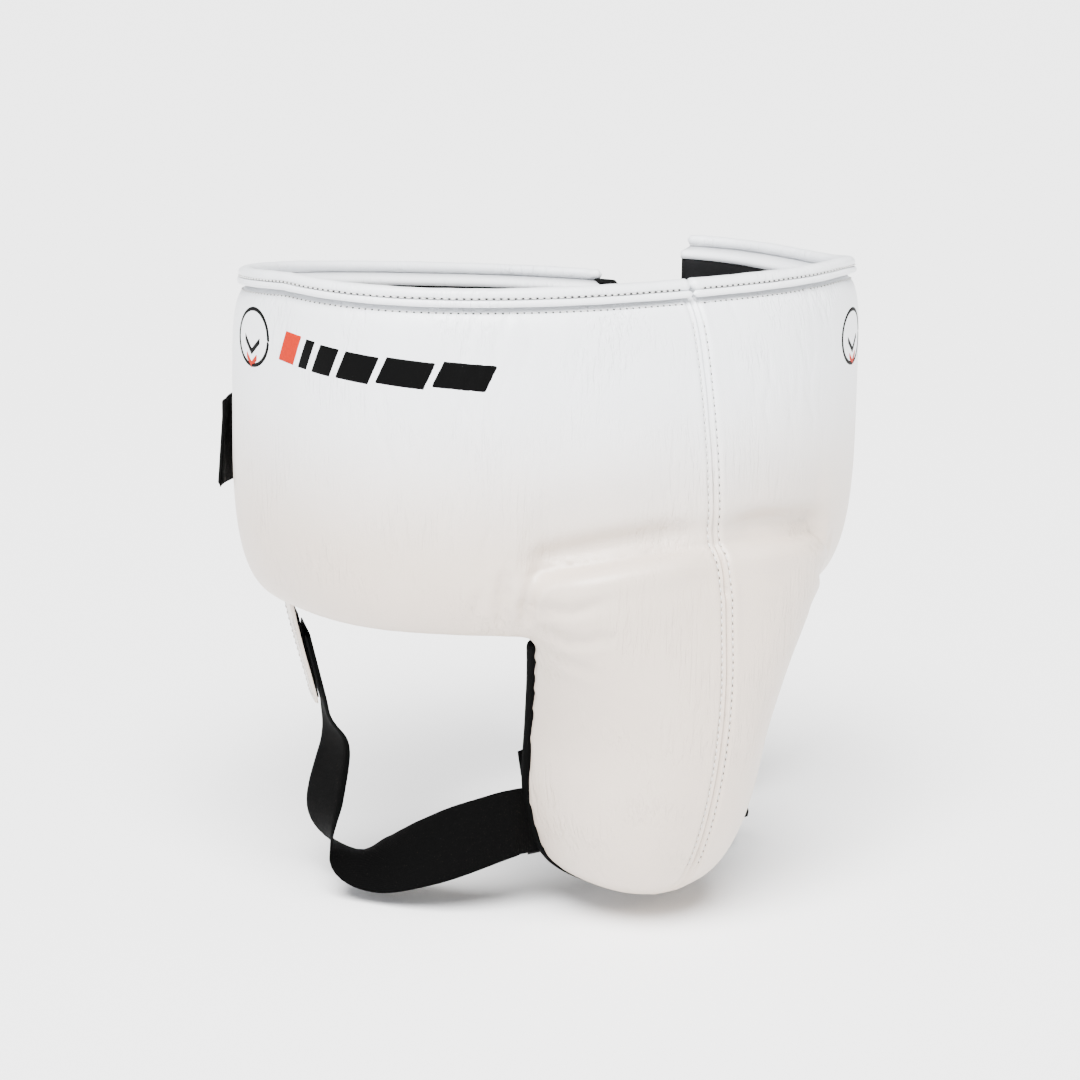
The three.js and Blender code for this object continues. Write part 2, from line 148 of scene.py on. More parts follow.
# ---------------------------------------------------------------- meshes
def grid_quads(rows: int, columns: int, wrap: bool = False, first: int = 0) -> list[tuple[int, ...]]:
    """Four-sided faces over a grid of vertices.

    Args:
        rows: Rows of the grid.
        columns: Columns of the grid.
        wrap: True where the last column joins the first.
        first: Index of the grid's first vertex.

    Returns:
        The faces' vertex indices.
    """
    index = first + np.arange(rows * columns).reshape(rows, columns)
    across = np.concatenate([index, index[:, :1]], axis=1) if wrap else index
    quads = np.stack([across[:-1, :-1], across[:-1, 1:], across[1:, 1:], across[1:, :-1]], axis=-1)
    return [tuple(quad) for quad in quads.reshape(-1, 4).tolist()]


@contextmanager
def editing(mesh: bpy.types.Mesh) -> Iterator[bmesh.types.BMesh]:
    """Opens a mesh for editing and writes it back at the end."""
    made = bmesh.new()
    made.from_mesh(mesh)
    yield made
    made.to_mesh(mesh)
    made.free()


def shade_smooth(mesh: bpy.types.Mesh) -> None:
    """Shades all of a mesh's faces smoothly."""
    mesh.polygons.foreach_set("use_smooth", [True] * len(mesh.polygons))


def make_object(name: str, points: Array, faces: Sequence[Sequence[int]],
                material: Optional[bpy.types.Material] = None) -> bpy.types.Object:
    """Makes a smooth-shaded mesh object with its faces turned outwards.

    Args:
        name: The piece's name.
        points: Vertices in millimetres.
        faces: Vertex indices of each face.
        material: Its finish.

    Returns:
        The new object.
    """
    mesh = bpy.data.meshes.new(name)
    mesh.from_pydata((np.asarray(points, float).reshape(-1, 3) * MM).tolist(), [], list(faces))
    with editing(mesh) as made:
        bmesh.ops.recalc_face_normals(made, faces=made.faces)
    shade_smooth(mesh)
    obj = bpy.data.objects.new(name, mesh)
    bpy.context.scene.collection.objects.link(obj)
    if material is not None:
        mesh.materials.append(material)
    return obj


def tube_faces(rows: int, columns: int) -> list[tuple[int, ...]]:
    """Faces of a closed tube: its side and an n-sided cap at each end."""
    ends = [tuple(range(columns)), tuple(range((rows - 1) * columns, rows * columns))]
    return grid_quads(rows, columns, wrap=True) + ends


def tube(loops: Array) -> tuple[Array, list]:
    """Vertices and faces of a closed tube through loops of points."""
    return loops.reshape(-1, 3), tube_faces(*loops.shape[:2])


def rounded_ends(loops: Array, radius: float, smallest: float = 0.12) -> Array:
    """Draws a tube's loops in towards their middles near both ends, as a rounded end.

    Args:
        loops: Rows of loops of points.
        radius: How far from an end the rounding starts.
        smallest: Size of the end loops, as a share.

    Returns:
        The loops with rounded ends.
    """
    middle = loops.mean(axis=1, keepdims=True)
    along = distances(middle[:, 0])
    to_end = np.minimum(along, along[-1] - along)
    share = 1.0 - np.clip(to_end / radius, 0.0, 1.0)
    scale = np.maximum(np.sqrt(1.0 - share ** 2), smallest)[:, None, None]
    return middle + (loops - middle) * scale


def plate(grid: Array, normals: Array, thickness: float, rounding: float,
          edge_share: float = 0.3) -> tuple[Array, list]:
    """A thin plate on a grid of points, with edges that roll down to the grid.

    Args:
        grid: Rows and columns of points on the plate's underside.
        normals: Directions of its thickness, of the grid's shape or one that spreads over it.
        thickness: Full thickness.
        rounding: Width of the rolled edge.
        edge_share: Thickness of the very edge, as a share.

    Returns:
        Vertices and faces.
    """
    rows, columns = grid.shape[:2]
    down = np.cumsum(np.linalg.norm(np.diff(grid, axis=0, prepend=grid[:1]), axis=-1), axis=0)
    over = np.cumsum(np.linalg.norm(np.diff(grid, axis=1, prepend=grid[:, :1]), axis=-1), axis=1)
    to_edge = np.minimum.reduce([down, down[-1:] - down, over, over[:, -1:] - over])
    share = 1.0 - np.clip(to_edge / rounding, 0.0, 1.0)
    height = thickness * np.maximum(np.sqrt(1.0 - share ** 2), edge_share)
    top = grid + normals * height[..., None]
    points = np.concatenate([grid.reshape(-1, 3), top.reshape(-1, 3)])
    size = rows * columns
    faces = grid_quads(rows, columns) + grid_quads(rows, columns, first=size)
    index = np.arange(size).reshape(rows, columns)
    rim = np.concatenate([index[0, :-1], index[:-1, -1], index[-1, :0:-1], index[:0:-1, 0]])
    faces += [(a, b, b + size, a + size) for a, b in zip(rim.tolist(), np.roll(rim, -1).tolist())]
    return points, faces


def applied(obj: bpy.types.Object) -> bpy.types.Object:
    """Applies all of an object's modifiers to its mesh."""
    graph = bpy.context.evaluated_depsgraph_get()
    mesh = bpy.data.meshes.new_from_object(obj.evaluated_get(graph))
    old = obj.data
    obj.modifiers.clear()
    obj.data = mesh
    bpy.data.meshes.remove(old)
    mesh.name = obj.name
    return obj


def hollowed(outer: bpy.types.Object, inner: bpy.types.Object) -> bpy.types.Object:
    """Cuts one closed object out of another and removes it."""
    cut = outer.modifiers.new("hollow", "BOOLEAN")
    cut.operation, cut.solver, cut.object = "DIFFERENCE", "EXACT", inner
    applied(outer)
    bpy.data.objects.remove(inner)
    return outer


def read_points(obj: bpy.types.Object) -> Array:
    """An object's vertices in millimetres."""
    flat = np.empty(len(obj.data.vertices) * 3)
    obj.data.vertices.foreach_get("co", flat)
    return flat.reshape(-1, 3) / MM


def read_normals(obj: bpy.types.Object) -> Array:
    """An object's vertex normals."""
    flat = np.empty(len(obj.data.vertices) * 3)
    obj.data.vertex_normals.foreach_get("vector", flat)
    return flat.reshape(-1, 3)


def write_points(obj: bpy.types.Object, points: Array) -> None:
    """Moves an object's vertices to points in millimetres."""
    obj.data.vertices.foreach_set("co", (points * MM).ravel())
    obj.data.update()


class Surface:
    """A finished mesh that other pieces are laid on."""

    def __init__(self, *objects: bpy.types.Object) -> None:
        """Builds one search tree over the objects' faces."""
        points, faces = [], []
        for obj in objects:
            faces += [[v + len(points) for v in p.vertices] for p in obj.data.polygons]
            points += [v.co.copy() for v in obj.data.vertices]
        self.tree = BVHTree.FromPolygons(points, faces)

    def drop(self, points: Array, directions: Array, start: float = 40.0) -> tuple[Array, Array]:
        """Moves points onto the surface, coming in from outside.

        Args:
            points: Places near the surface, in millimetres.
            directions: Outward directions at the places.
            start: How far outside each ray starts.

        Returns:
            The places on the surface and the surface's normals there.
        """
        found, normals = np.array(points, float), np.array(directions, float)
        for at in np.ndindex(points.shape[:-1]):
            out = Vector(directions[at])
            origin = Vector(points[at]) * MM + out * start * MM
            place, normal, _, _ = self.tree.ray_cast(origin, -out, 2.5 * start * MM)
            if place is not None:
                found[at] = np.array(place) / MM
                normals[at] = np.array(normal if normal.dot(out) > 0 else -normal)
        return found, normals


# ---------------------------------------------------------------- finishes
def linear(colour: str) -> tuple[float, float, float, float]:
    """An sRGB hex colour as linear values."""
    parts = [int(colour[i:i + 2], 16) / 255 for i in (1, 3, 5)]
    return tuple(c / 12.92 if c <= 0.04045 else ((c + 0.055) / 1.055) ** 2.4 for c in parts) + (1.0,)


def add_node(tree: Tree, kind: str, settings: Optional[dict] = None,
             inputs: Optional[dict] = None) -> bpy.types.Node:
    """Adds a node, with its settings, and its inputs' values or links.

    Args:
        tree: The material's node tree.
        kind: The node's type name without "ShaderNode".
        settings: Attributes of the node.
        inputs: Values or output sockets, by input name or number.

    Returns:
        The new node.
    """
    node = tree.nodes.new("ShaderNode" + kind)
    for key, value in (settings or {}).items():
        setattr(node, key, value)
    for key, value in (inputs or {}).items():
        if isinstance(value, Socket):
            tree.links.new(value, node.inputs[key])
        else:
            node.inputs[key].default_value = value
    return node


def ramp(tree: Tree, value: Socket, *stops: tuple[float, tuple]) -> Socket:
    """Turns a value into a colour that runs between two stops, each a place and a colour."""
    node = add_node(tree, "ValToRGB", None, {"Fac": value})
    for element, (place, colour) in zip(node.color_ramp.elements, stops):
        element.position, element.color = place, colour
    return node.outputs["Color"]


def noise(tree: Tree, place: Socket, scale: float, detail: float, **more: float) -> Socket:
    """A cloudy noise of a scale per metre."""
    return add_node(tree, "TexNoise", None, {"Vector": place, "Scale": scale, "Detail": detail, **more}
                    ).outputs["Fac"]


def shaded(colour: tuple, share: float) -> tuple:
    """A colour made darker or lighter by a share."""
    return tuple(share * c for c in colour[:3]) + (1.0,)


@dataclass(frozen=True)
class Finish:
    """A finish with a plain colour and a fine bump; the special finishes build on it.

    Scales are given as the real size of the pattern in millimetres.
    """

    name: str
    colour: str
    roughness: float
    ior: float = 1.5
    grain: float = 1.0
    relief: float = 0.05
    gloss: float = 0.5

    def start(self) -> tuple[bpy.types.Material, Tree, bpy.types.Node, Socket]:
        """A new material with its shader and the object's own coordinates."""
        material = bpy.data.materials.new(self.name)
        material.use_nodes = True
        tree = material.node_tree
        shader = tree.nodes["Principled BSDF"]
        shader.inputs["Base Color"].default_value = linear(self.colour)
        shader.inputs["Roughness"].default_value = self.roughness
        shader.inputs["IOR"].default_value = self.ior
        shader.inputs["Specular IOR Level"].default_value = self.gloss
        place = add_node(tree, "TexCoord").outputs["Object"]
        return material, tree, shader, place

    def build(self) -> bpy.types.Material:
        """Makes the material."""
        material, tree, shader, place = self.start()
        self.dress(tree, shader, place)
        return material

    def bumped(self, tree: Tree, shader: bpy.types.Node, layers: Sequence[tuple[Socket, float]]) -> None:
        """Adds relief in layers, each a height and its depth in millimetres."""
        below = None
        for height, depth in layers:
            inputs = {"Height": height, "Distance": depth * MM, "Strength": 1.0}
            if below is not None:
                inputs["Normal"] = below
            below = add_node(tree, "Bump", None, inputs).outputs["Normal"]
        tree.links.new(below, shader.inputs["Normal"])

    def dress(self, tree: Tree, shader: bpy.types.Node, place: Socket) -> None:
        """A soft mottle in the colour and a fine grain in the relief."""
        fine, base = noise(tree, place, 1.0 / (self.grain * MM), 4.0), linear(self.colour)
        colour = ramp(tree, fine, (0.3, shaded(base, 0.82)), (0.65, base))
        tree.links.new(colour, shader.inputs["Base Color"])
        self.bumped(tree, shader, [(fine, self.relief)])


@dataclass(frozen=True)
class Leather(Finish):
    """Corrected-grain cowhide with a pigmented, lightly glazed white face.

    The glaze gives soft wide highlights, and the hide under it shows fine pores and faint hairline creases
    that run up and down. Low down its colour turns to a darker warm grey: painted shade, where less light
    falls.
    """

    # Painted shade: a darker warm grey low down, coming in between two heights, where less light falls.
    painted_shade_colour: str = "#CFC0B2"
    pore: float = 1.3
    crease: float = 2.6
    coat: float = 0.3
    coat_roughness: float = 0.35
    upright: tuple[float, float, float] = (1.0, 1.0, 0.13)
    painted_shade_from: float = -45.0
    painted_shade_to: float = -150.0
    crease_depth: float = -0.3
    pore_depth: float = 0.05

    def dress(self, tree: Tree, shader: bpy.types.Node, place: Socket) -> None:
        """Pores, fine upright creases, and painted shade: the colour runs from cool white at the top to a
        darker warm grey low down.
        """
        pores = add_node(tree, "TexVoronoi", {"feature": "DISTANCE_TO_EDGE"},
                         {"Vector": place, "Scale": 1.0 / (self.pore * MM)})
        pore_height = ramp(tree, pores.outputs["Distance"], (0.0, BLACK), (0.16, WHITE))
        stretch = add_node(tree, "Mapping", {"vector_type": "POINT"},
                           {"Vector": place, "Scale": self.upright})
        creases = noise(tree, stretch.outputs["Vector"], 1.0 / (self.crease * MM), 3.0,
                        Roughness=0.55, Distortion=0.35)
        smoothed = ramp(tree, creases, (0.38, BLACK), (0.52, WHITE))
        where = ramp(tree, noise(tree, place, 22.0, 2.0), (0.46, BLACK), (0.62, WHITE))
        level = add_node(tree, "Math", {"operation": "SUBTRACT"}, {0: 1.0, 1: smoothed})
        faded = add_node(tree, "Math", {"operation": "MULTIPLY"}, {0: level.outputs[0], 1: where})
        self.bumped(tree, shader, [(faded.outputs[0], self.crease_depth), (pore_height, self.pore_depth)])
        height = add_node(tree, "SeparateXYZ", None, {"Vector": place})
        # Painted shade: between two heights the colour turns from the leather's own to a darker warm grey, as
        # the lower parts get less light.
        low = add_node(tree, "MapRange", {"interpolation_type": "SMOOTHSTEP"},
                       {"Value": height.outputs["Z"], "From Min": self.painted_shade_from * MM,
                        "From Max": self.painted_shade_to * MM})
        painted_shade_tint = add_node(tree, "MixRGB", None, {"Fac": low.outputs["Result"], "Color1": linear(self.colour),
                                               "Color2": linear(self.painted_shade_colour)})
        mottle = noise(tree, place, 45.0, 3.0)
        shade = ramp(tree, mottle, (0.3, (0.965, 0.965, 0.965, 1)), (0.7, WHITE))
        final = add_node(tree, "MixRGB", {"blend_type": "MULTIPLY"},
                         {"Fac": 1.0, "Color1": painted_shade_tint.outputs["Color"], "Color2": shade})
        tree.links.new(final.outputs["Color"], shader.inputs["Base Color"])
        gloss = add_node(tree, "MapRange", None, {"Value": mottle, "To Min": self.roughness - 0.06,
                                                  "To Max": self.roughness + 0.08})
        tree.links.new(gloss.outputs["Result"], shader.inputs["Roughness"])
        shader.inputs["Coat Weight"].default_value = self.coat
        shader.inputs["Coat Roughness"].default_value = self.coat_roughness


@dataclass(frozen=True)
class Woven(Finish):
    """Plain-woven black cloth: thread crossings catch a faint grey light.

    The nylon's real threads are about 0.3 mm apart, too fine to show, so pitch is drawn coarser. Elastic
    webbing has its ribs across the strap and a flat knitted edge.
    """

    pitch: float = 1.1
    sheen: float = 0.15
    rib_axis: str = "Z"

    def dress(self, tree: Tree, shader: bpy.types.Node, place: Socket) -> None:
        """Two crossed sets of threads and a little lint."""
        scale = math.pi / (5 * self.pitch * MM)
        turned = add_node(tree, "Mapping", None, {"Vector": place, "Rotation": (0.0, 0.0, math.radians(45))})
        waves = [
            add_node(tree, "TexWave", {"wave_type": "BANDS", "bands_direction": axis},
                     {"Vector": turned.outputs["Vector"], "Scale": scale, "Distortion": 0.4})
            for axis in ("X", self.rib_axis)
        ]
        weave = add_node(tree, "Math", {"operation": "MAXIMUM"},
                         {index: wave.outputs["Fac"] for index, wave in enumerate(waves)})
        base = linear(self.colour)
        colour = ramp(tree, noise(tree, place, 900.0, 3.0), (0.45, base), (0.75, shaded(base, 2.2)))
        tree.links.new(colour, shader.inputs["Base Color"])
        self.bumped(tree, shader, [(weave.outputs[0], self.relief)])
        shader.inputs["Sheen Weight"].default_value = self.sheen
        shader.inputs["Sheen Roughness"].default_value = 0.45


@dataclass(frozen=True)
class Finishes:
    """Every finish of the protector, made once."""

    # Glazed white cowhide: semi-gloss with fine pores.
    leather: bpy.types.Material = field(default_factory=Leather(
        "white_cowhide_glazed", "#E9EBEE", 0.36).build)
    # Calendered black nylon lining: dull, with a fine plain weave.
    nylon: bpy.types.Material = field(default_factory=Woven(
        "black_nylon_plain_woven", "#030304", 0.62, relief=0.05, gloss=0.2, pitch=1.0, sheen=0.02).build)
    # Woven polyester and rubber elastic: matte black with ribs across its width.
    elastic: bpy.types.Material = field(default_factory=Woven(
        "black_elastic_webbing_woven", "#010101", 0.9, relief=0.12, gloss=0.05, pitch=1.6, sheen=0.004).build)
    # Hook and loop pile in black nylon: rough tufts that swallow light.
    pile: bpy.types.Material = field(default_factory=Finish(
        "black_nylon_loop_pile", "#040404", 0.95, grain=0.9, relief=0.5, gloss=0.15).build)
    # Moulded polypropylene for the hard cup: satin with a faint moulding grain.
    polypropylene: bpy.types.Material = field(default_factory=Finish(
        "grey_polypropylene_moulded", "#C9CCD0", 0.38, ior=1.49, grain=0.6, relief=0.02).build)
    # Bonded polyester thread: off-white with the gloss of twisted filament.
    thread: bpy.types.Material = field(default_factory=Finish(
        "white_polyester_thread_twisted", "#DAD9D6", 0.5, grain=0.35, relief=0.08).build)
    # Painted shadow: a dark colour for the shade in the hole that a needle leaves in pigmented hide.
    needle_hole: bpy.types.Material = field(default_factory=Finish(
        "shaded_needle_hole", "#2E2B2A", 0.9, grain=0.3, relief=0.02).build)
    # Screen-printed vinyl inks: flat and nearly matte over the hide.
    black_ink: bpy.types.Material = field(default_factory=Finish(
        "black_vinyl_ink_printed", "#020202", 0.6, grain=1.2, relief=0.02, gloss=0.05).build)
    orange_ink: bpy.types.Material = field(default_factory=Finish(
        "orange_vinyl_ink_printed", "#A81C00", 0.6, grain=1.2, relief=0.02, gloss=0.08).build)


# ---------------------------------------------------------------- shapes shared by the pieces
@dataclass(frozen=True)
class WaistShape:
    """The padding's shape round the waist, as in the frame: a squarish oval with one gap behind."""

    half_width: float = 180.0
    half_depth: float = 132.0
    squareness: float = 2.5
    left_end: float = 341.0
    flex_line: float = 358.0
    right_end: float = 636.0
    thickness: float = 28.0
    height: float = 187.0
    flap_height: float = 168.0
    lining: float = 1.3
    roll_height: float = 7.7
    front_lean: float = 26.0
    lean_reach: float = 165.0
    lean_depth: float = 170.0
    samples: int = 7200

    def line(self) -> tuple[Array, Array, Array]:
        """The oval's points and their reaches."""
        angle = np.linspace(-math.pi, math.pi, self.samples + 1)
        x = self.half_width * signed_power(np.sin(angle), 2 / self.squareness)
        y = -self.half_depth * signed_power(np.cos(angle), 2 / self.squareness)
        arc = np.concatenate([[0.0], np.cumsum(np.hypot(np.diff(x), np.diff(y)))])
        return x, y, arc - arc[self.samples // 2]

    def length(self) -> float:
        """Length of the whole oval."""
        arc = self.line()[2]
        return float(arc[-1] - arc[0])

    def outwards(self, reach: Array) -> Array:
        """Outward directions at reaches."""
        x, y = self.on_line(reach)
        slope = np.stack([
            signed_power(x / self.half_width, self.squareness - 1) / self.half_width,
            signed_power(y / self.half_depth, self.squareness - 1) / self.half_depth,
            np.zeros_like(x),
        ], axis=-1)
        return unit(slope)

    def on_line(self, reach: Array) -> tuple[Array, Array]:
        """Places on the oval at reaches."""
        x, y, arc = self.line()
        half = self.length() / 2
        wrapped = (np.asarray(reach, float) + half) % (2 * half) - half
        return np.interp(wrapped, arc, x), np.interp(wrapped, arc, y)

    def lean(self, reach: Array, z: Array) -> Array:
        """How far the front leans forward."""
        across = np.cos(0.5 * math.pi * np.clip(np.abs(reach) / self.lean_reach, 0, 1)) ** 2
        return self.front_lean * across * np.sin(0.5 * math.pi * np.clip(-z / self.lean_depth, 0, 1))

    def place(self, reach: Array, depth: Array, z: Array) -> Array:
        """Points at reaches, depths from the wearer's side outwards, and heights."""
        reach, depth, z = np.broadcast_arrays(np.asarray(reach, float), depth, z)
        x, y = self.on_line(reach)
        points = np.stack([x, y, z], axis=-1) + self.outwards(reach) * (depth - self.thickness)[..., None]
        points[..., 1] -= self.lean(reach, z)
        return points

    def rim(self, reach: Array) -> Array:
        """Height of the rim's top."""
        left = -9.0 * smooth((reach - 120.0) / 120.0)
        right = -32.0 * np.clip((-reach - 250.0) / (self.right_end - 250.0), 0, 1)
        return np.where(reach >= 0, left, right)

    def top(self, reach: Array) -> Array:
        """Height of the padding's top."""
        return self.rim(reach) - self.roll_height - 0.3

    def hem(self, reach: Array) -> Array:
        """Height of the padding's bottom."""
        along = np.clip((-reach - self.flex_line) / (self.right_end - self.flex_line), 0, 1)
        to_end = np.where(reach >= 0, self.left_end - reach, self.right_end + reach)
        corner = 14.0 * (1 - np.clip(to_end / 30.0, 0, 1)) ** 3
        return -self.height + (self.height - self.flap_height) * smooth(along) + corner

    def bend(self) -> tuple[Vector, Vector]:
        """Where the padding starts and stops bending at the flex line."""
        at = np.array([-self.flex_line + 13.0, -self.flex_line - 13.0])
        start, end = self.place(at, self.thickness, -95.0) * MM
        return Vector(start), Vector(end)


@dataclass(frozen=True)
class CupShape:
    """The hanging groin cup: D-shaped levels from inside the waist pad down to a rounded tip.

    Each level is height, front, half width and rear, as in the frame.
    """

    levels: tuple[tuple[float, float, float, float], ...] = (
        (-128, -149, 62, -112), (-142, -158, 82, -114), (-160, -165, 92, -114), (-186, -168, 86, -108),
        (-214, -169, 75, -93), (-248, -166, 65, -77), (-280, -159, 62, -71), (-308, -149, 56, -70),
        (-328, -137, 45, -72), (-340, -121, 27, -80), (-343.5, -108, 10, -88),
    )
    roundness: float = 2.4
    rows: int = 110
    arc_steps: int = 48
    tip: float = -343.5
    tip_rounding: float = 60.0
    least_size: float = 3.0

    def smooth_levels(self) -> Array:
        """The levels on a smooth curve, closely spaced."""
        return through(np.array(self.levels, float), self.rows)

    def rear(self, z: float) -> float:
        """Rear edge of the cup at a height."""
        levels = self.smooth_levels()[::-1]
        return float(np.interp(z, levels[:, 0], levels[:, 3]))

    def solid(self, inset: float, behind: float) -> tuple[Array, list]:
        """A closed D-shaped body, pulled in from its face by inset and with its rear moved back.

        Args:
            inset: How far its face is pulled in.
            behind: How far its rear moves back.

        Returns:
            Vertices and faces.
        """
        levels = self.smooth_levels()
        share = smooth((levels[:, 0] - self.tip) / self.tip_rounding)
        z = levels[:, 0] + inset * (1 - share) + inset * (np.arange(self.rows) == 0)
        half = np.maximum(self.least_size, levels[:, 2] - inset)
        bulge = np.maximum(self.least_size, levels[:, 3] - levels[:, 1] - inset)
        angle = np.linspace(0, math.pi, self.arc_steps + 1)
        x = half[:, None] * signed_power(np.cos(angle), 2 / self.roundness)
        y = levels[:, 3, None] - bulge[:, None] * signed_power(np.sin(angle), 2 / self.roundness)
        arc = np.stack([x, y, np.broadcast_to(z[:, None], x.shape)], axis=-1)
        rear = arc[:, [-1, 0]].copy()
        rear[..., 1] = levels[:, 3, None] + behind
        return tube(np.concatenate([arc, rear], axis=1))


@dataclass
class Workshop:
    """What every sub-assembly is given: the finishes and the shapes."""

    finishes: Finishes
    waist: WaistShape = field(default_factory=WaistShape)
    cup: CupShape = field(default_factory=CupShape)


def settle(obj: bpy.types.Object, body: str, slot: str, *nodes: str,
           bend: Optional[tuple[Vector, Vector]] = None) -> bpy.types.Object:
    """Lets a finished piece follow its body, or bakes its transform in where a bend is given; hides the CAD
    nodes that it stands for, and logs it.

    Args:
        obj: The finished piece.
        body: The body that it rides on where no bend is given.
        slot: Not used.
        nodes: The CAD nodes that it replaces.
        bend: Where it starts and stops bending; only checked against None, and any other value bakes its
            transform in instead of letting it ride.

    Returns:
        The piece.
    """
    if bend is None:
        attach(obj, body)
    else:
        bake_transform(obj)
    if nodes:
        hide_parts(*nodes)
    LOG.info("%s: %d faces", obj.name, len(obj.data.polygons))
    return obj


# ---------------------------------------------------------------- padded leather cover
@dataclass(frozen=True)
class Pucker:
    """A gathered crease in the leather along a line of points on or near its face."""

    line: tuple[tuple[float, float, float], ...]
    depth: float
    width: float
    ridge: float = 0.35

    def lift(self, points: Array) -> Array:
        """How far each point moves along its normal: a valley with a low ridge beside it.

        Args:
            points: Vertices in millimetres.

        Returns:
            The move of each vertex.
        """
        path = through(np.array(self.line, float), 40)
        near = np.full(len(points), 1e9)
        share = np.zeros(len(points))
        for index, place in enumerate(path):
            place = points[np.argmin(((points - place) ** 2).sum(axis=1))]
            gap = np.linalg.norm(points - place, axis=1)
            closer = gap < near
            near[closer], share[closer] = gap[closer], index / (len(path) - 1)
        taper = np.sin(math.pi * np.clip(0.08 + 0.9 * share, 0, 1)) ** 0.7
        valley = -self.depth * bell(near, self.width)
        ridge = self.ridge * self.depth * bell(near - 2.1 * self.width, self.width)
        return taper * (valley + ridge)


@dataclass
class PaddedCover:
    """The padded leather waist and cup, in a right and a left panel that meet at the centre seam."""

    shop: Workshop
    voxel: float = 4.0
    reach_step: float = 4.0
    arc_points: int = 40
    end_rounding: float = 13.0
    top_squareness: float = 6.0
    bottom_squareness: float = 2.6
    shell: float = 20.0
    gap_reach: float = 365.0
    side_y: float = -60.0
    cup_reach: float = 120.0
    seam_width: float = 1.2
    seam_depth: float = 1.7
    row_offset: float = 3.6
    row_depth: float = 0.95
    seam_cuts: tuple[float, ...] = (0.8, 1.6, 2.6, 3.6, 4.6, 6.0)
    wrinkled_to: float = 60.0
    crease_softening: int = 4
    wrinkle_seed: int = 11
    wrinkle_fields: tuple = (
        (-0.78, 0.30, -20.0, -95.0, 40, 0.5),
        (-0.66, 0.22, -100.0, -165.0, 14, 0.5),
        (-1.05, 0.3, -60.0, -140.0, 8, 0.3),
        (0.42, 0.34, -14.0, -90.0, 26, 0.5),
        (0.02, 0.12, -20.0, -60.0, 6, 0.22),
        (-1.9, 0.5, -30.0, -130.0, 12, 0.25),
        (1.6, 0.6, -30.0, -130.0, 12, 0.25),
    )
    crease_half_width: float = 98.0
    crease_height: float = -137.0
    crease_drop: float = 12.0
    # Height of each swell or hollow, its place above the crease and its width.
    crease_profile: tuple[tuple[float, float, float], ...] = (
        (-7.0, 6.5, 8.0), (-3.2, 24.0, 18.0), (5.0, -8.5, 7.5), (1.6, -22.0, 14.0), (-2.6, 0.0, 1.7))
    puckers: tuple[Pucker, ...] = (
        Pucker(((-92, -128, -147), (-99, -128, -157), (-101, -127, -170), (-99, -122, -183)), 3.2, 3.2),
        Pucker(((-112, -122, -150), (-113, -122, -162), (-112, -120, -176), (-109, -117, -187)), 1.9, 3.0),
        Pucker(((-94, -131, -166), (-84, -143, -166), (-77, -150, -163), (-70, -156, -160)), 1.5, 2.6),
        Pucker(((-93, -124, -180), (-86, -137, -184), (-78, -147, -183), (-66, -155, -180)), 1.6, 3.0),
        Pucker(((-122, -113, -160), (-124, -112, -172), (-123, -110, -184)), 1.1, 2.6),
        Pucker(((-86, -124, -199), (-80, -138, -201), (-72, -147, -203)), 0.9, 3.2),
        Pucker(((92, -128, -147), (99, -128, -157), (101, -127, -170), (99, -122, -183)), 2.8, 3.2),
        Pucker(((112, -122, -152), (113, -122, -164), (111, -120, -178)), 1.6, 3.0),
        Pucker(((94, -131, -166), (84, -143, -166), (75, -151, -162)), 1.4, 2.8),
        Pucker(((93, -124, -180), (86, -137, -184), (76, -148, -182)), 1.4, 3.0),
    )

    def pillow(self) -> tuple[Array, list]:
        """The closed waist pad from end to end, with rounded ends.

        Returns:
            Vertices and faces.
        """
        waist = self.shop.waist
        reach = np.arange(-waist.right_end, waist.left_end + 0.1, self.reach_step)
        to_end = np.minimum(reach + waist.right_end, waist.left_end - reach)
        share = 1 - np.clip(to_end / self.end_rounding, 0, 1)
        swell = np.maximum((1 - share ** 2.2) ** (1 / 2.2), 0.2)
        top = waist.top(reach) - 5 * (1 - swell)
        hem = waist.hem(reach) + 6 * (1 - swell)
        angle = np.linspace(-math.pi / 2, math.pi / 2, self.arc_points + 1)
        power = np.where(angle > 0, 2 / self.top_squareness, 2 / self.bottom_squareness)
        up = signed_power(np.sin(angle), power)
        out = np.abs(np.cos(angle)) ** power
        depth = waist.lining + (waist.thickness - waist.lining) * swell[:, None] * out
        z = (top + hem)[:, None] / 2 + (top - hem)[:, None] / 2 * up
        back = np.linspace(1, 0, 26)[1:-1]
        back_z = hem[:, None] + (top - hem)[:, None] * back
        depth = np.concatenate([depth, np.full_like(back_z, waist.lining + 0.5)], axis=1)
        loops = waist.place(reach[:, None], depth, np.concatenate([z, back_z], axis=1))
        return tube(loops)

    def joined(self) -> bpy.types.Object:
        """The pad and the hollow cup as one closed body with a soft crease between them."""
        cup = self.shop.cup
        lobe = hollowed(make_object("cup_body", *cup.solid(0.0, 0.4)),
                        make_object("cup_hollow", *cup.solid(self.shell, 40.0)))
        pad = make_object("padded_cover", *self.pillow())
        with editing(pad.data) as made:
            made.from_mesh(lobe.data)
        bpy.data.objects.remove(lobe)
        remesh = pad.modifiers.new("voxels", "REMESH")
        remesh.mode, remesh.voxel_size = "VOXEL", self.voxel * MM
        soften = pad.modifiers.new("soften", "SMOOTH")
        soften.factor, soften.iterations = 0.5, self.crease_softening
        finer = pad.modifiers.new("finer", "SUBSURF")
        finer.levels = finer.render_levels = 1
        applied(pad)
        self.trim_wearer_side(pad)
        return pad

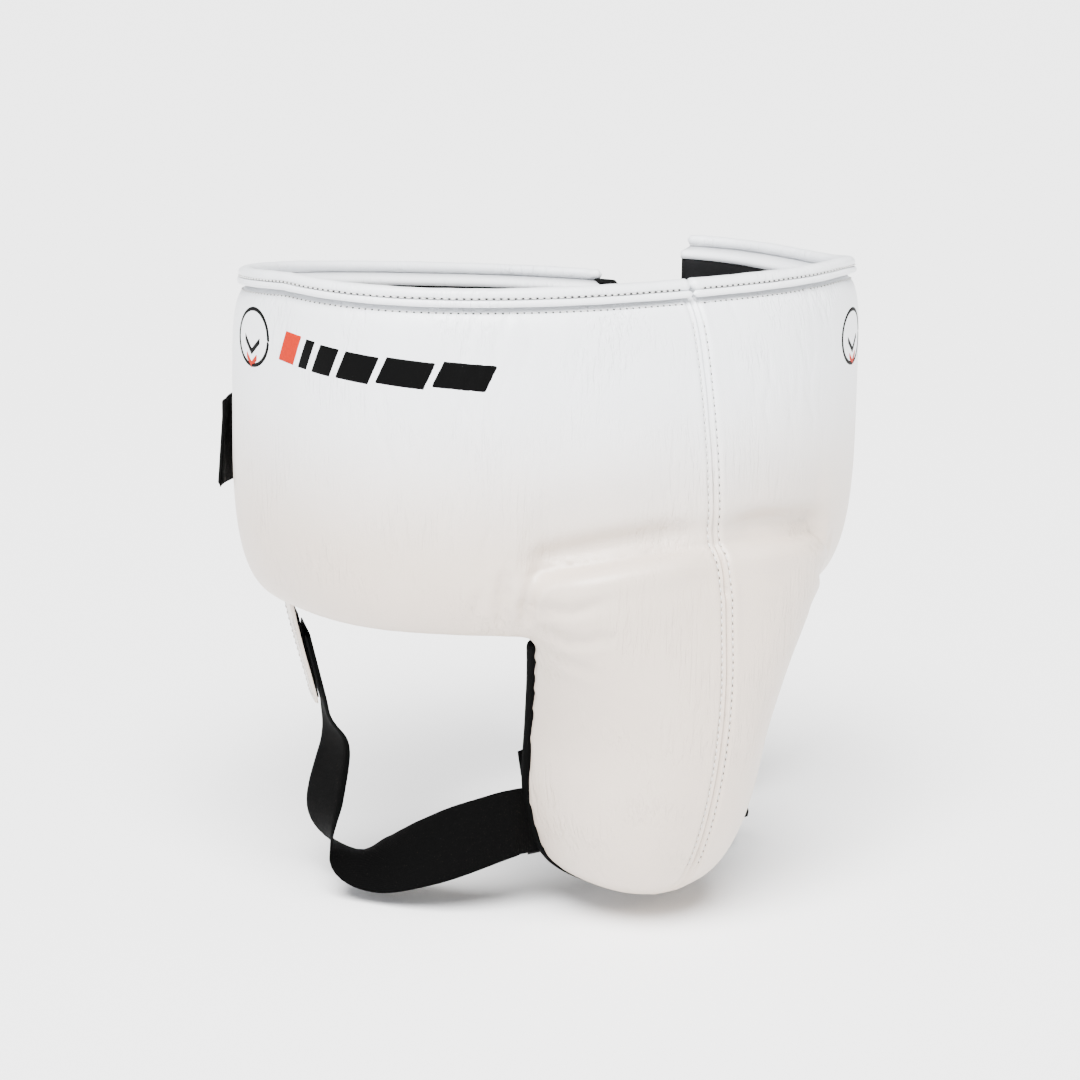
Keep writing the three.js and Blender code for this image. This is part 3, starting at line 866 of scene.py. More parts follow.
    def trim_wearer_side(self, pad: bpy.types.Object) -> None:
        """Presses the cup's top back into the pad where it would stand out of the wearer's side."""
        waist = self.shop.waist
        reach = np.linspace(-200.0, 200.0, 401)
        inner = waist.place(reach, waist.lining + 0.4, 0.0)
        points = read_points(pad)
        at = np.interp(points[:, 0], inner[:, 0], reach)
        face = np.interp(at, reach, inner[:, 1]) - waist.lean(at, points[:, 2])
        covered = (points[:, 2] > 3.0 - waist.height) & (np.abs(points[:, 0]) < self.cup_reach)
        covered &= points[:, 1] < self.side_y
        points[:, 1] = np.where(covered, np.minimum(points[:, 1], face), points[:, 1])
        write_points(pad, points)

    def beyond(self, place: Vector, side: Side, ends: Array) -> bool:
        """True where a place belongs to the other panel, which behind is parted by the waist's gap.

        Args:
            place: A place on the padding, in millimetres.
            side: The panel's side.
            ends: Two places on a line along the waist, in the middle of the gap.

        Returns:
            Whether the other panel has it.
        """
        past_gap = (place.xy - Vector(ends[0, :2])).dot(Vector(ends[1, :2] - ends[0, :2])) > 0
        if place.y < self.side_y:
            return side is Side.LEFT and place.x < -6.0
        return past_gap if side is Side.LEFT else place.x > 0 and not past_gap

    @staticmethod
    def seam_parts(made: bmesh.types.BMesh, within: Optional[float]) -> list:
        """The front's faces, edges and vertices.

        Args:
            made: The open mesh.
            within: How far from the seam to take them, or None for all.

        Returns:
            The parts.
        """
        faces = [f for f in made.faces if f.calc_center_median().y < 0
                 and (within is None or abs(f.calc_center_median().x) < within * MM)]
        parts = [*faces, *(e for f in faces for e in f.edges), *(v for f in faces for v in f.verts)]
        return list(dict.fromkeys(parts))

    def cut_panel(self, whole: bpy.types.Object, side: Side) -> bpy.types.Object:
        """One side of the body, closed at the centre seam and with extra edges beside it.

        Args:
            whole: The closed body.
            side: The side to keep.

        Returns:
            The panel.
        """
        panel = whole.copy()
        panel.data = whole.data.copy()
        panel.name = f"padded_cover_{side.label}"
        bpy.context.scene.collection.objects.link(panel)
        keep = Vector((side.value, 0, 0))
        gap = self.shop.waist.place(np.array([self.gap_reach - 1, self.gap_reach + 1]), 14.0, 0.0)
        with editing(panel.data) as made:
            spare = [f for f in made.faces if self.beyond(f.calc_center_median() / MM, side, gap)]
            bmesh.ops.delete(made, geom=spare, context="FACES")
            bmesh.ops.bisect_plane(made, geom=self.seam_parts(made, None), plane_co=(0, 0, 0),
                                   plane_no=keep, clear_inner=True, dist=1e-5)
            bmesh.ops.delete(made, geom=[v for v in made.verts if not v.link_faces], context="VERTS")
            for offset in self.seam_cuts:
                bmesh.ops.bisect_plane(made, geom=self.seam_parts(made, 12.0),
                                       plane_co=keep * offset * MM, plane_no=keep, dist=1e-5)
            bmesh.ops.holes_fill(made, edges=[e for e in made.edges if e.is_boundary], sides=0)
            bmesh.ops.recalc_face_normals(made, faces=made.faces)
        return panel

    def sew(self, panel: bpy.types.Object) -> None:
        """Draws in the centre seam, its stitch rows and the gathered creases."""
        points, normals = read_points(panel), read_normals(panel)
        off = np.abs(points[:, 0])
        front = smooth((-points[:, 1] - 95.0) / 20.0)
        lift = -self.seam_depth * bell(off, self.seam_width)
        lift -= self.row_depth * bell(off - self.row_offset, 0.9)
        lift += 0.35 * bell(off - 1.9, 0.8) + 0.3 * bell(off - 6.5, 1.8)
        lift *= front
        lift += self.cup_crease(points, normals) + self.wrinkles(points)
        for pucker in self.puckers:
            lift += pucker.lift(points)
        normals[off < 0.05, 0] = 0
        write_points(panel, points + normals * lift[:, None])

    def wrinkles(self, points: Array) -> Array:
        """Fine upright wrinkles where the hide was pulled over the front's curve.

        Args:
            points: Vertices in millimetres.

        Returns:
            The move of each vertex.
        """
        rng = np.random.default_rng(self.wrinkle_seed)
        lift = np.zeros(len(points))
        turn = np.arctan2(points[:, 0], -points[:, 1] + 20.0)
        for centre, spread, low, high, count, depth in self.wrinkle_fields:
            for _ in range(count):
                at = centre + spread * rng.normal() / 2
                middle = rng.uniform(high, low)
                length = rng.uniform(7.0, 26.0)
                sway = 0.02 * np.sin(points[:, 2] / rng.uniform(6.0, 16.0) + rng.uniform(0, 6))
                off = (turn - at - sway) * 165.0
                lift -= depth * rng.uniform(0.4, 1.0) * bell(off, rng.uniform(1.1, 2.0)) * bell(
                    points[:, 2] - middle, length)
        return lift * (points[:, 1] < self.wrinkled_to)

    def cup_crease(self, points: Array, normals: Array) -> Array:
        """The pad's face drawn in above the cup, and the cup's full top below it.

        Args:
            points: Vertices in millimetres.
            normals: Their normals.

        Returns:
            The move of each vertex.
        """
        share = np.clip(np.abs(points[:, 0]) / self.crease_half_width, 0, 1)
        line = self.crease_height - self.crease_drop * share ** 2.6
        above = points[:, 2] - line
        front = smooth((-points[:, 1] - 104.0) / 14.0) * smooth((-normals[:, 1] + 0.1) / 0.3)
        end = 1 - smooth((np.abs(points[:, 0]) - self.crease_half_width + 8.0) / 16.0)
        profile = sum(height * bell(above - at, width) for height, at, width in self.crease_profile)
        seam = 0.3 + 0.7 * smooth(np.abs(points[:, 0]) / 34.0)
        return front * end * seam * profile

    def dress(self, panel: bpy.types.Object) -> None:
        """Leather outside, and lining cloth on what faces into the cup's hollow."""
        finishes, cup = self.shop.finishes, self.shop.cup
        panel.data.materials.clear()
        panel.data.materials.append(finishes.leather)
        panel.data.materials.append(finishes.nylon)
        levels = cup.smooth_levels()[::-1]
        count = len(panel.data.polygons)
        middle, normal = np.empty(count * 3), np.empty(count * 3)
        panel.data.polygons.foreach_get("center", middle)
        panel.data.polygons.foreach_get("normal", normal)
        middle, normal = middle.reshape(-1, 3) / MM, normal.reshape(-1, 3)
        front = np.interp(middle[:, 2], levels[:, 0], levels[:, 1])
        half = np.interp(middle[:, 2], levels[:, 0], levels[:, 2])
        rear = np.interp(middle[:, 2], levels[:, 0], levels[:, 3])
        inwards = -normal[:, 0] * middle[:, 0] + normal[:, 1] * (rear - 2.0 - middle[:, 1])
        # The hollow's walls, clear of the face, the rear edge and the centre seam.
        inside = (middle[:, 1] > front + 14) & (np.abs(middle[:, 0]) < half - 12) & (inwards > 1.0)
        inside &= (middle[:, 2] < -150) & (middle[:, 1] < rear + 8) & (np.abs(middle[:, 0]) > 0.01)
        # The hollow's floor, above the tip.
        inside |= (normal[:, 2] > 0.3) & (middle[:, 2] < -285) & (middle[:, 1] > front + 10)
        panel.data.polygons.foreach_set("material_index", inside.astype(np.int32))
        shade_smooth(panel.data)

    def build(self) -> dict[Side, bpy.types.Object]:
        """Builds both panels; the left one rides on the root and the right one has its transform baked in.

        Returns:
            The panel of each side.
        """
        whole = self.joined()
        panels = {}
        for side in Side:
            panel = self.cut_panel(whole, side)
            self.sew(panel)
            self.dress(panel)
            panels[side] = panel
        bpy.data.objects.remove(whole)
        settle(panels[Side.RIGHT], "back_flap", "white_leather", "front_leather_right", "flap_leather",
               "flap_foam", "waist_foam", "groin_foam", bend=self.shop.waist.bend())
        settle(panels[Side.LEFT], "root", "white_leather", "front_leather_left", "waist_foam", "groin_foam")
        return panels


# ---------------------------------------------------------------- stitches
@dataclass
class StitchRow:
    """A row of lockstitches laid in short rounded lengths of thread, with a dark button of painted shadow for
    the needle hole at each end.
    """

    shop: Workshop
    pitch: float = 4.2
    stitch: float = 2.5
    thread: float = 0.42
    hole: float = 0.8
    sides: int = 6

    def build(self, name: str, rows: Sequence[tuple[Array, Array]]) -> bpy.types.Object:
        """Makes all the stitches of one or more rows as one piece.

        Args:
            name: The piece's name.
            rows: For each row, a dense line of points and the face's normals there.

        Returns:
            The stitches.
        """
        points, faces, materials = [], [], []
        for line, normals in rows:
            along = distances(line)
            count = int((along[-1] - self.stitch) // self.pitch)
            for index in range(count):
                start = self.stitch / 2 + index * self.pitch
                at = np.linspace(start, start + self.stitch, 5)
                place, out = sampled(line, along, at), unit(sampled(normals, along, at))
                self.add_thread(place, out, points, faces, materials)
                self.add_hole(place[-1], out[-1], unit(place[-1] - place[0]), points, faces, materials)
        obj = make_object(name, np.array(points), faces, self.shop.finishes.thread)
        obj.data.materials.append(self.shop.finishes.needle_hole)
        obj.data.polygons.foreach_set("material_index", np.array(materials, np.int32))
        return obj

    def add_thread(self, place: Array, out: Array, points: list, faces: list, materials: list) -> None:
        """Adds one length of thread that dips into the leather at both ends."""
        forward = unit(np.gradient(place, axis=0))
        across = np.cross(forward, out)
        height = np.array([-0.15, 0.2, 0.3, 0.2, -0.15])
        size = self.thread * np.array([0.55, 1.0, 1.05, 1.0, 0.55])
        turn = 2 * math.pi * np.arange(self.sides) / self.sides
        first = len(points)
        for step in range(len(place)):
            middle = place[step] + out[step] * height[step]
            for angle in turn:
                points.append(middle + size[step] * (math.cos(angle) * across[step]
                                                     + math.sin(angle) * out[step]))
        made = tube_faces(len(place), self.sides)
        faces += [tuple(v + first for v in face) for face in made]
        materials += [0] * len(made)

    def add_hole(self, place: Array, out: Array, forward: Array, points: list, faces: list,
                 materials: list) -> None:
        """Adds the painted shadow of the needle hole between two stitches, as a low dark closed button."""
        across = np.cross(forward, out)
        middle = place + forward * (self.pitch - self.stitch) / 2
        turn = 2 * math.pi * np.arange(self.sides) / self.sides
        first = len(points)
        for size, lift in ((self.hole, -0.25), (self.hole, 0.03), (0.5 * self.hole, 0.1)):
            for angle in turn:
                points.append(middle + out * lift + size * (math.cos(angle) * forward
                                                            + 0.75 * math.sin(angle) * across))
        made = tube_faces(3, self.sides)
        faces += [tuple(v + first for v in face) for face in made]
        materials += [1] * len(made)


@dataclass
class CentreSeam:
    """The double-topstitched centre seam from the rim down to the cup's tip."""

    shop: Workshop
    offset: float = 3.6
    top: float = -20.0
    bottom: float = -336.0

    def build(self, surface: Surface) -> None:
        """Lays a row of stitches on each side of the seam."""
        z = np.linspace(self.top, self.bottom, 160)
        for side in Side:
            guess = np.stack([np.full_like(z, side.value * self.offset), np.full_like(z, -150.0), z], axis=1)
            down = smooth((-z - 300.0) / 40.0)
            out = unit(np.stack([0 * z, -1 + 0.5 * down, -0.9 * down], axis=1))
            line, normals = surface.drop(guess, out, start=60.0)
            row = StitchRow(self.shop).build(f"centre_stitches_{side.label}", [(line, normals)])
            settle(row, "root", "white_leather")


# ---------------------------------------------------------------- rim
@dataclass
class RimTrim:
    """Rolled leather binding over a thin piping, both round the whole rim, with their topstitching."""

    shop: Workshop
    roll_middle: float = 20.3
    roll_half_width: float = 3.9
    roll_height: float = 6.2
    piping_depth: float = 23.6
    piping_drop: float = 7.5
    piping_radius: float = 1.6
    flap_bare_end: float = 6.0
    step: float = 2.0

    def sweep(self, reach: Array, outline: Callable[[Array], tuple[Array, Array]], ends: float) -> tuple:
        """A closed tube along the rim.

        Args:
            reach: The tube's reaches.
            outline: Gives depth and drop arrays for the reaches, one row for each.
            ends: Rounding of the tube's ends.

        Returns:
            Vertices and faces.
        """
        depth, drop = outline(reach[:, None])
        loops = self.shop.waist.place(reach[:, None], depth, self.shop.waist.rim(reach)[:, None] - drop)
        return tube(rounded_ends(loops, ends))

    def roll(self, reach: Array) -> tuple[Array, Array]:
        """The rolled binding: a soft tube with slight gathers, drawn in at its stitch line."""
        angle = np.linspace(0, 2 * math.pi, 28, endpoint=False)
        gather = 1 + 0.018 * np.sin(reach / 2.9) + 0.022 * np.sin(reach / 7.3 + 1.3)
        gather = gather + 0.015 * np.sin(reach / 17)
        half = self.roll_height / 2
        ripple = 0.22 * np.sin(reach * 2 * math.pi / 4.1)
        ripple = ripple * bell(np.cos(angle) - 0.55, 0.35) * (np.sin(angle) < 0)
        width = self.roll_half_width * gather + ripple
        depth = self.roll_middle + width * signed_power(np.cos(angle), 0.9)
        return depth, half - (half * gather) * signed_power(np.sin(angle), 0.95)

    def piping(self, reach: Array) -> tuple[Array, Array]:
        """The thin piping below the binding."""
        angle = np.linspace(0, 2 * math.pi, 14, endpoint=False)
        size = self.piping_radius * (1 + 0.03 * np.sin(reach / 5.1))
        return self.piping_depth + size * np.cos(angle), self.piping_drop - 1.15 * size * np.sin(angle)

    def flange(self, reach: Array) -> tuple[Array, Array]:
        """The binding's flat inner edge, which covers the lining's top."""
        corners = np.array([(-0.7, 11.6), (0.4, 11.8), (1.4, 8.6), (17.5, 8.2), (17.5, 6.6), (2.4, 7.2),
                            (-0.3, 8.4)])
        wave = 0.12 * np.sin(reach / 4.3)
        return corners[:, 0] + wave, corners[:, 1] + 0 * reach

    def build(self, surface: Surface) -> None:
        """Builds the trims of both sides with their stitches.

        Args:
            surface: The leather cover's face.
        """
        waist, finishes = self.shop.waist, self.shop.finishes
        spans = {Side.RIGHT: (-waist.right_end + self.flap_bare_end, -0.02),
                 Side.LEFT: (0.02, waist.left_end - 0.5)}
        parts = {"binding": self.roll, "piping": self.piping, "flange": self.flange}
        for side, (low, high) in spans.items():
            reach = np.linspace(low, high, int((high - low) / self.step))
            on_right = side is Side.RIGHT
            body, bend = ("back_flap", waist.bend()) if on_right else ("root", None)
            for name, outline in parts.items():
                points, faces = self.sweep(reach, outline, 2.5)
                piece = make_object(f"rim_{name}_{side.label}", points, faces, finishes.leather)
                places = () if name == "flange" else ("rim", "flap") if on_right else ("rim",)
                settle(piece, body, "white_leather", *(f"{place}_{name}" for place in places), bend=bend)
            settle(self.stitches(side, reach, surface), body, "white_leather", bend=bend)

    def stitches(self, side: Side, reach: Array, surface: Surface) -> bpy.types.Object:
        """A topstitch row in the leather under the piping and one where the binding meets it."""
        waist = self.shop.waist
        guess = waist.place(reach, waist.thickness, waist.rim(reach) - 12.6)
        line, normals = surface.drop(guess, waist.outwards(reach), start=20.0)
        depth = self.roll_middle + self.roll_half_width - 0.25
        upper = waist.place(reach, depth, waist.rim(reach) - 4.9)
        rows = [(line[2:-2], normals[2:-2]), (upper[2:-2], waist.outwards(reach)[2:-2])]
        return StitchRow(self.shop, pitch=3.8, stitch=2.2, thread=0.36, hole=0.72).build(
            f"rim_stitches_{side.label}", rows)


# ---------------------------------------------------------------- linings
@dataclass
class Linings:
    """Black nylon on the wearer's side of the pad, and inside the cup with its bound rear edge."""

    shop: Workshop
    step: float = 4.0
    rows: int = 44
    bowl_inset: float = 22.6
    bowl_thickness: float = 1.6
    bowl_top: float = -185.5
    edge_width: float = 22.0
    edge_proud: float = 5.2
    edge_top: float = -183.0
    flap_outline: tuple[tuple[float, float], ...] = (
        (-1.6, 0.0), (20.5, 0.0), (23.5, 0.04), (29.0, 0.16), (29.6, 0.8), (22.0, 0.985), (-1.6, 1.0))
    flap_end_height: float = 160.0

    def waist_lining(self, side: Side) -> bpy.types.Object:
        """The lining of one side, slightly loose between its sewn edges."""
        waist = self.shop.waist
        low, high = (-waist.right_end + 3, -0.05) if side is Side.RIGHT else (0.05, waist.left_end - 3)
        reach = np.linspace(low, high, int((high - low) / self.step))[:, None]
        share = np.linspace(0, 1, self.rows)
        top, hem = waist.top(reach) - 1.2, waist.hem(reach) + 2.0
        z = top + (hem - top) * share
        slack = 0.5 * np.sin(reach / 11.0 + 3 * share) * np.sin(math.pi * share) ** 0.5
        slack = slack + 0.35 * np.sin(reach / 4.7 + 1.7) * np.sin(math.pi * share)
        grid = waist.place(reach, 1.1 + 0 * slack, z)
        inner = -waist.outwards(reach[:, 0])[:, None]
        points, faces = plate(grid + inner * 0.4 * np.clip(slack, 0, 1)[..., None], inner, 1.5, 2.5)
        return make_object(f"waist_lining_{side.label}", points, faces, self.shop.finishes.nylon)

    def bowl(self) -> bpy.types.Object:
        """The cloth inside the cup."""
        cup = self.shop.cup
        bowl = hollowed(
            make_object("cup_lining_bowl", *cup.solid(self.bowl_inset, 2.0), self.shop.finishes.nylon),
            make_object("cup_lining_core", *cup.solid(self.bowl_inset + self.bowl_thickness, 40.0)))
        with editing(bowl.data) as trim:
            bmesh.ops.bisect_plane(trim, geom=[*trim.verts, *trim.edges, *trim.faces],
                                   plane_co=(0, 0, self.bowl_top * MM), plane_no=(0, 0, 1), clear_outer=True)
            bmesh.ops.holes_fill(trim, edges=[e for e in trim.edges if e.is_boundary], sides=0)
        shade_smooth(bowl.data)
        return bowl

    def edge(self) -> bpy.types.Object:
        """The bound edge that runs down one side of the cup's rear, round its tip and up the other."""
        levels = self.shop.cup.smooth_levels()
        levels = levels[levels[:, 0] < self.edge_top]
        down = np.stack([levels[:, 2] + 0.7, levels[:, 3], levels[:, 0]], axis=1)
        path = through(np.concatenate([down[::6], (down * [-1, 1, 1])[::-6]]), 150)
        forward = unit(np.gradient(path, axis=0))
        inward = unit(np.cross(forward, [0.0, 1.0, 0.0]))
        inward *= np.sign(((np.array([0, 0, -240.0]) - path) * inward).sum(axis=1))[:, None]
        middle = path + inward * self.edge_width / 2
        angle = np.linspace(0, 2 * math.pi, 24, endpoint=False)
        across = inward[:, None] * (self.edge_width / 2 * signed_power(np.cos(angle), 0.6))[None, :, None]
        proud = np.zeros((len(path), len(angle), 3))
        proud[..., 1] = 0.2 + self.edge_proud * signed_power(np.sin(angle), 0.7)
        loops = rounded_ends(middle[:, None] + across + proud, 4.0)
        return make_object("cup_edge_binding", *tube(loops), self.shop.finishes.elastic)

    def flap_end(self) -> bpy.types.Object:
        """The black binding folded over the back flap's free end."""
        waist = self.shop.waist
        reach = np.linspace(-waist.right_end - 4.0, -waist.right_end + 13.0, 10)
        top = waist.rim(reach) - 5.4
        hem = waist.hem(reach) + 1.0
        outline = np.array(self.flap_outline)
        outline = np.column_stack([outline[:, 0], outline[:, 1] * self.flap_end_height, 0 * outline[:, 0]])
        curve = through(outline, 40)
        loops = []
        for at, high, low in zip(reach, top, hem):
            closed = 0.35 if at < -waist.right_end + 0.5 else 1.0
            depth = 14 + (curve[:, 0] - 14) * (0.9 + 0.1 * closed)
            down = curve[:, 1] / self.flap_end_height
            loops.append(waist.place(np.full(40, at), depth, high + (low - high) * down))
        loops = rounded_ends(np.array(loops), 2.0)
        return make_object("flap_end_binding", *tube(loops), self.shop.finishes.elastic)

    def build(self) -> None:
        """Builds all linings."""
        waist = self.shop.waist
        right, left = self.waist_lining(Side.RIGHT), self.waist_lining(Side.LEFT)
        settle(right, "back_flap", "nylon_lining", "waist_lining", "flap_lining", bend=waist.bend())
        settle(left, "root", "nylon_lining", "waist_lining")
        settle(self.bowl(), "root", "nylon_lining", "cup_lining")
        settle(self.edge(), "root", "nylon_lining", "cup_lining")
        settle(self.flap_end(), "back_flap", "nylon_lining")


# ---------------------------------------------------------------- straps
@dataclass
class Webbing:
    """A flat strap through places, with directions across its width."""

    width: float
    thickness: float
    count: int = 90
    columns: int = 15

    def grid(self, route: Sequence[tuple[Sequence[float], Sequence[float]]]) -> tuple[Array, Array]:
        """The strap's underside and its normals.

        Args:
            route: Places of the middle line, each with its direction across.

        Returns:
            Grids of points and of normals.
        """
        rows = through(np.array([[*place, *turn] for place, turn in route], float), self.count)
        path, across = rows[:, :3], unit(rows[:, 3:])
        forward = unit(np.gradient(path, axis=0))
        face = unit(np.cross(forward, across))
        across = unit(np.cross(face, forward))
        offset = np.linspace(-0.5, 0.5, self.columns) * self.width
        normals = face[:, None]
        return path[:, None] + across[:, None] * offset[None, :, None] - normals * self.thickness / 2, normals


@dataclass
class LegStrap:
    """An elastic leg strap with its sewn end on the cup, its tab at the hip, and their patches."""

    shop: Workshop
    side: Side
    width: float = 38.0
    thickness: float = 2.0
    hinge_x: float = 60.75
    height: float = -303.0
    tab_reach: float = 316.0
    tab_length: float = 66.0
    tab_top: float = 42.0
    tab_tip: float = 26.0
    tilt: float = 14.0
    sewn_route: tuple[float, ...] = (37.0, 50.0, 61.5, 68.0)
    free_routes: tuple[tuple, tuple] = (
        (
            ((85.0, -55.6, -311.0), (0.0, 0.1, 1.0)),
            ((100.0, -33.8, -324.0), (-0.2, 0.42, 0.85)),
            ((112.0, -5.0, -337.0), (-0.42, 0.72, 0.5)),
            ((122.5, 19.0, -336.0), (-0.45, 0.85, 0.12)),
            ((128.5, 32.0, -314.0), (-0.05, 0.97, 0.12)),
        ),
        (
            ((89.0, -60.5, -308.0), (0.0, 0.1, 1.0)),
            ((111.5, -43.0, -317.0), (-0.1, 0.25, 0.95)),
            ((120.0, -10.0, -331.0), (-0.3, 0.6, 0.7)),
            ((125.0, 17.0, -333.0), (-0.45, 0.82, 0.3)),
            ((128.5, 32.0, -313.0), (-0.25, 0.95, 0.05)),
        ),
    )

    def hinge(self) -> tuple[Array, Array, Array, Array]:
        """The tab's own frame at the hem: its origin, and its directions along, down and outwards."""
        waist = self.shop.waist
        reach = np.array([self.side.value * self.tab_reach])
        origin = waist.place(reach, 0.0, waist.hem(reach))[0]
        out = waist.outwards(reach)[0]
        along = np.cross([0.0, 0.0, 1.0], out)
        turn = math.radians(self.tilt)
        up = np.array([0, 0, 1.0]) * math.cos(turn) + out * math.sin(turn)
        return origin, along, -up, np.cross(along, up)

    def on_tab(self, across: Array, down: Array, out: Array) -> Array:
        """Points in the tab's frame."""
        origin, along, below, outwards = self.hinge()
        across, down, out = np.broadcast_arrays(across, down, out)
        return origin + across[..., None] * along + down[..., None] * below + out[..., None] * outwards

    def strap(self) -> bpy.types.Object:
        """The elastic from under its sewn patch round the leg to the tab."""
        level = -0.3 - 1.6 - 2 * (0.3 + 1.0) - 0.3 - self.thickness / 2
        face = self.shop.cup.rear(self.height) + 0.9 + self.thickness / 2
        mirrored = np.array([self.side.value, 1, 1])
        rearwards = self.hinge()[1] * self.side.value
        free = self.free_routes[self.side is Side.LEFT]
        route = [((x, face, self.height), (0.0, 0.0, 1.0)) for x in self.sewn_route]
        route = [(np.array(p) * mirrored, np.array(a) * mirrored) for p, a in [*route, *free]]
        drops = np.array([1.4, 1.1, 0.9, 0.34]) * self.tab_length
        turns = [np.array([-0.12 * self.side.value, 0.97, 0.0]), rearwards, rearwards, rearwards]
        route += [(self.on_tab(0.0, drop, level), turn) for drop, turn in zip(drops, turns)]
        points, faces = plate(*Webbing(self.width, self.thickness).grid(route), self.thickness, 0.9)
        name = f"leg_strap_elastic_{self.side.label}"
        return make_object(name, points, faces, self.shop.finishes.elastic)

    def tab(self) -> bpy.types.Object:
        """The tapered leather tab with a rounded tip and a turned edge."""
        down = np.linspace(1.6, self.tab_length, 34)
        share = (down - down[0]) / (down[-1] - down[0])
        half = (self.tab_top + (self.tab_tip - self.tab_top) * share) / 2
        tip = np.clip((down - (self.tab_length - 9)) / 9, 0, 1)
        half = half * np.sqrt(np.maximum(1 - 0.75 * tip ** 2.6, 0.05))
        across = np.linspace(-1, 1, 17)[None, :] * half[:, None]
        bow = 0.35 * np.sin(share * 5.0)[:, None] + 0 * across
        grid = self.on_tab(across, down[:, None] + 0 * across, -1.9 + bow)
        points, faces = plate(grid, self.hinge()[3], 1.9, 1.6)
        return make_object(f"leg_tab_leather_{self.side.label}", points, faces, self.shop.finishes.leather)

    def tab_stitches(self) -> bpy.types.Object:
        """A row of stitches just inside the tab's edge."""
        inset = 3.4
        down = np.linspace(7.0, self.tab_length - 4.5, 40)
        share = (down - 1.6) / (self.tab_length - 1.6)
        half = (self.tab_top + (self.tab_tip - self.tab_top) * share) / 2 - inset
        tip = np.clip((down - (self.tab_length - 9)) / 9, 0, 1)
        half = half * (1 - 0.3 * tip ** 2)
        lift = 0.05 + 0.35 * np.sin(share * 5.0)
        sides = self.on_tab(-half, down, lift), self.on_tab(half, down, lift)[::-1]
        line = through(np.concatenate(sides), 240)
        normals = np.broadcast_to(self.hinge()[3], line.shape)
        return StitchRow(self.shop, pitch=3.6, stitch=2.4, thread=0.36, hole=0.45).build(
            f"leg_tab_stitches_{self.side.label}", [(line, normals)])

    def holding_patch(self) -> bpy.types.Object:
        """The leather patch that holds the tab's top against the lining."""
        waist = self.shop.waist
        middle = self.side.value * self.tab_reach
        reach = np.linspace(middle - self.tab_top / 2, middle + self.tab_top / 2, 22)[:, None]
        hem = waist.hem(reach)
        z = hem + np.linspace(0.5, 32.0, 18)
        grid = waist.place(reach, -0.4 + 0 * z, z)
        points, faces = plate(grid, -waist.outwards(reach[:, 0])[:, None], 1.6, 1.4)
        return make_object(f"leg_tab_holder_{self.side.label}", points, faces, self.shop.finishes.leather)

    def tail(self) -> bpy.types.Object:
        """The strap's folded end, which stands a little off the cup above its patch."""
        sign = self.side.value
        face = self.shop.cup.rear(self.height)
        places = ((50.0, 4.2, -300.0), (54.0, 4.8, -284.0), (57.0, 4.6, -270.0), (58.5, 4.0, -263.0))
        route = [((sign * x, face + y, z), (sign, 0, 0)) for x, y, z in places]
        points, faces = plate(*Webbing(9.0, 1.6, count=30, columns=9).grid(route), 1.6, 0.8)
        return make_object(f"leg_strap_tail_{self.side.label}", points, faces, self.shop.finishes.elastic)

    def sewn_patch(self) -> bpy.types.Object:
        """The nylon patch over the strap's sewn end."""
        face = self.shop.cup.rear(self.height) + 0.9 + self.thickness + 0.3
        x = self.side.value * np.linspace(32.0, 56.0, 14)[:, None]
        z = self.height + np.linspace(-21.0, 21.0, 22)
        grid = np.stack(np.broadcast_arrays(x, face + 0 * z, z), axis=-1)
        points, faces = plate(grid, np.array([0.0, 1.0, 0.0]), 1.6, 1.3)
        return make_object(f"strap_end_patch_{self.side.label}", points, faces, self.shop.finishes.nylon)

    def build(self) -> None:
        """Builds the strap, the tab and their patches."""
        label, sign = self.side.label, self.side.value
        bend = tuple(Vector((sign * x, -68.3, self.height)) * MM
                     for x in (self.hinge_x - 4.0, self.hinge_x + 4.0))
        settle(self.strap(), f"leg_strap_{label}", "black_elastic", f"leg_strap_{label}",
               f"strap_end_{label}", bend=bend)
        settle(self.tab(), f"leg_tab_{label}", "white_leather", f"leg_tab_{label}")
        settle(self.tab_stitches(), f"leg_tab_{label}", "white_leather")
        settle(self.holding_patch(), "root", "white_leather", f"leg_tab_patch_{label}")
        settle(self.tail(), "root", "black_elastic")
        settle(self.sewn_patch(), "root", "nylon_lining", f"strap_patch_{label}")


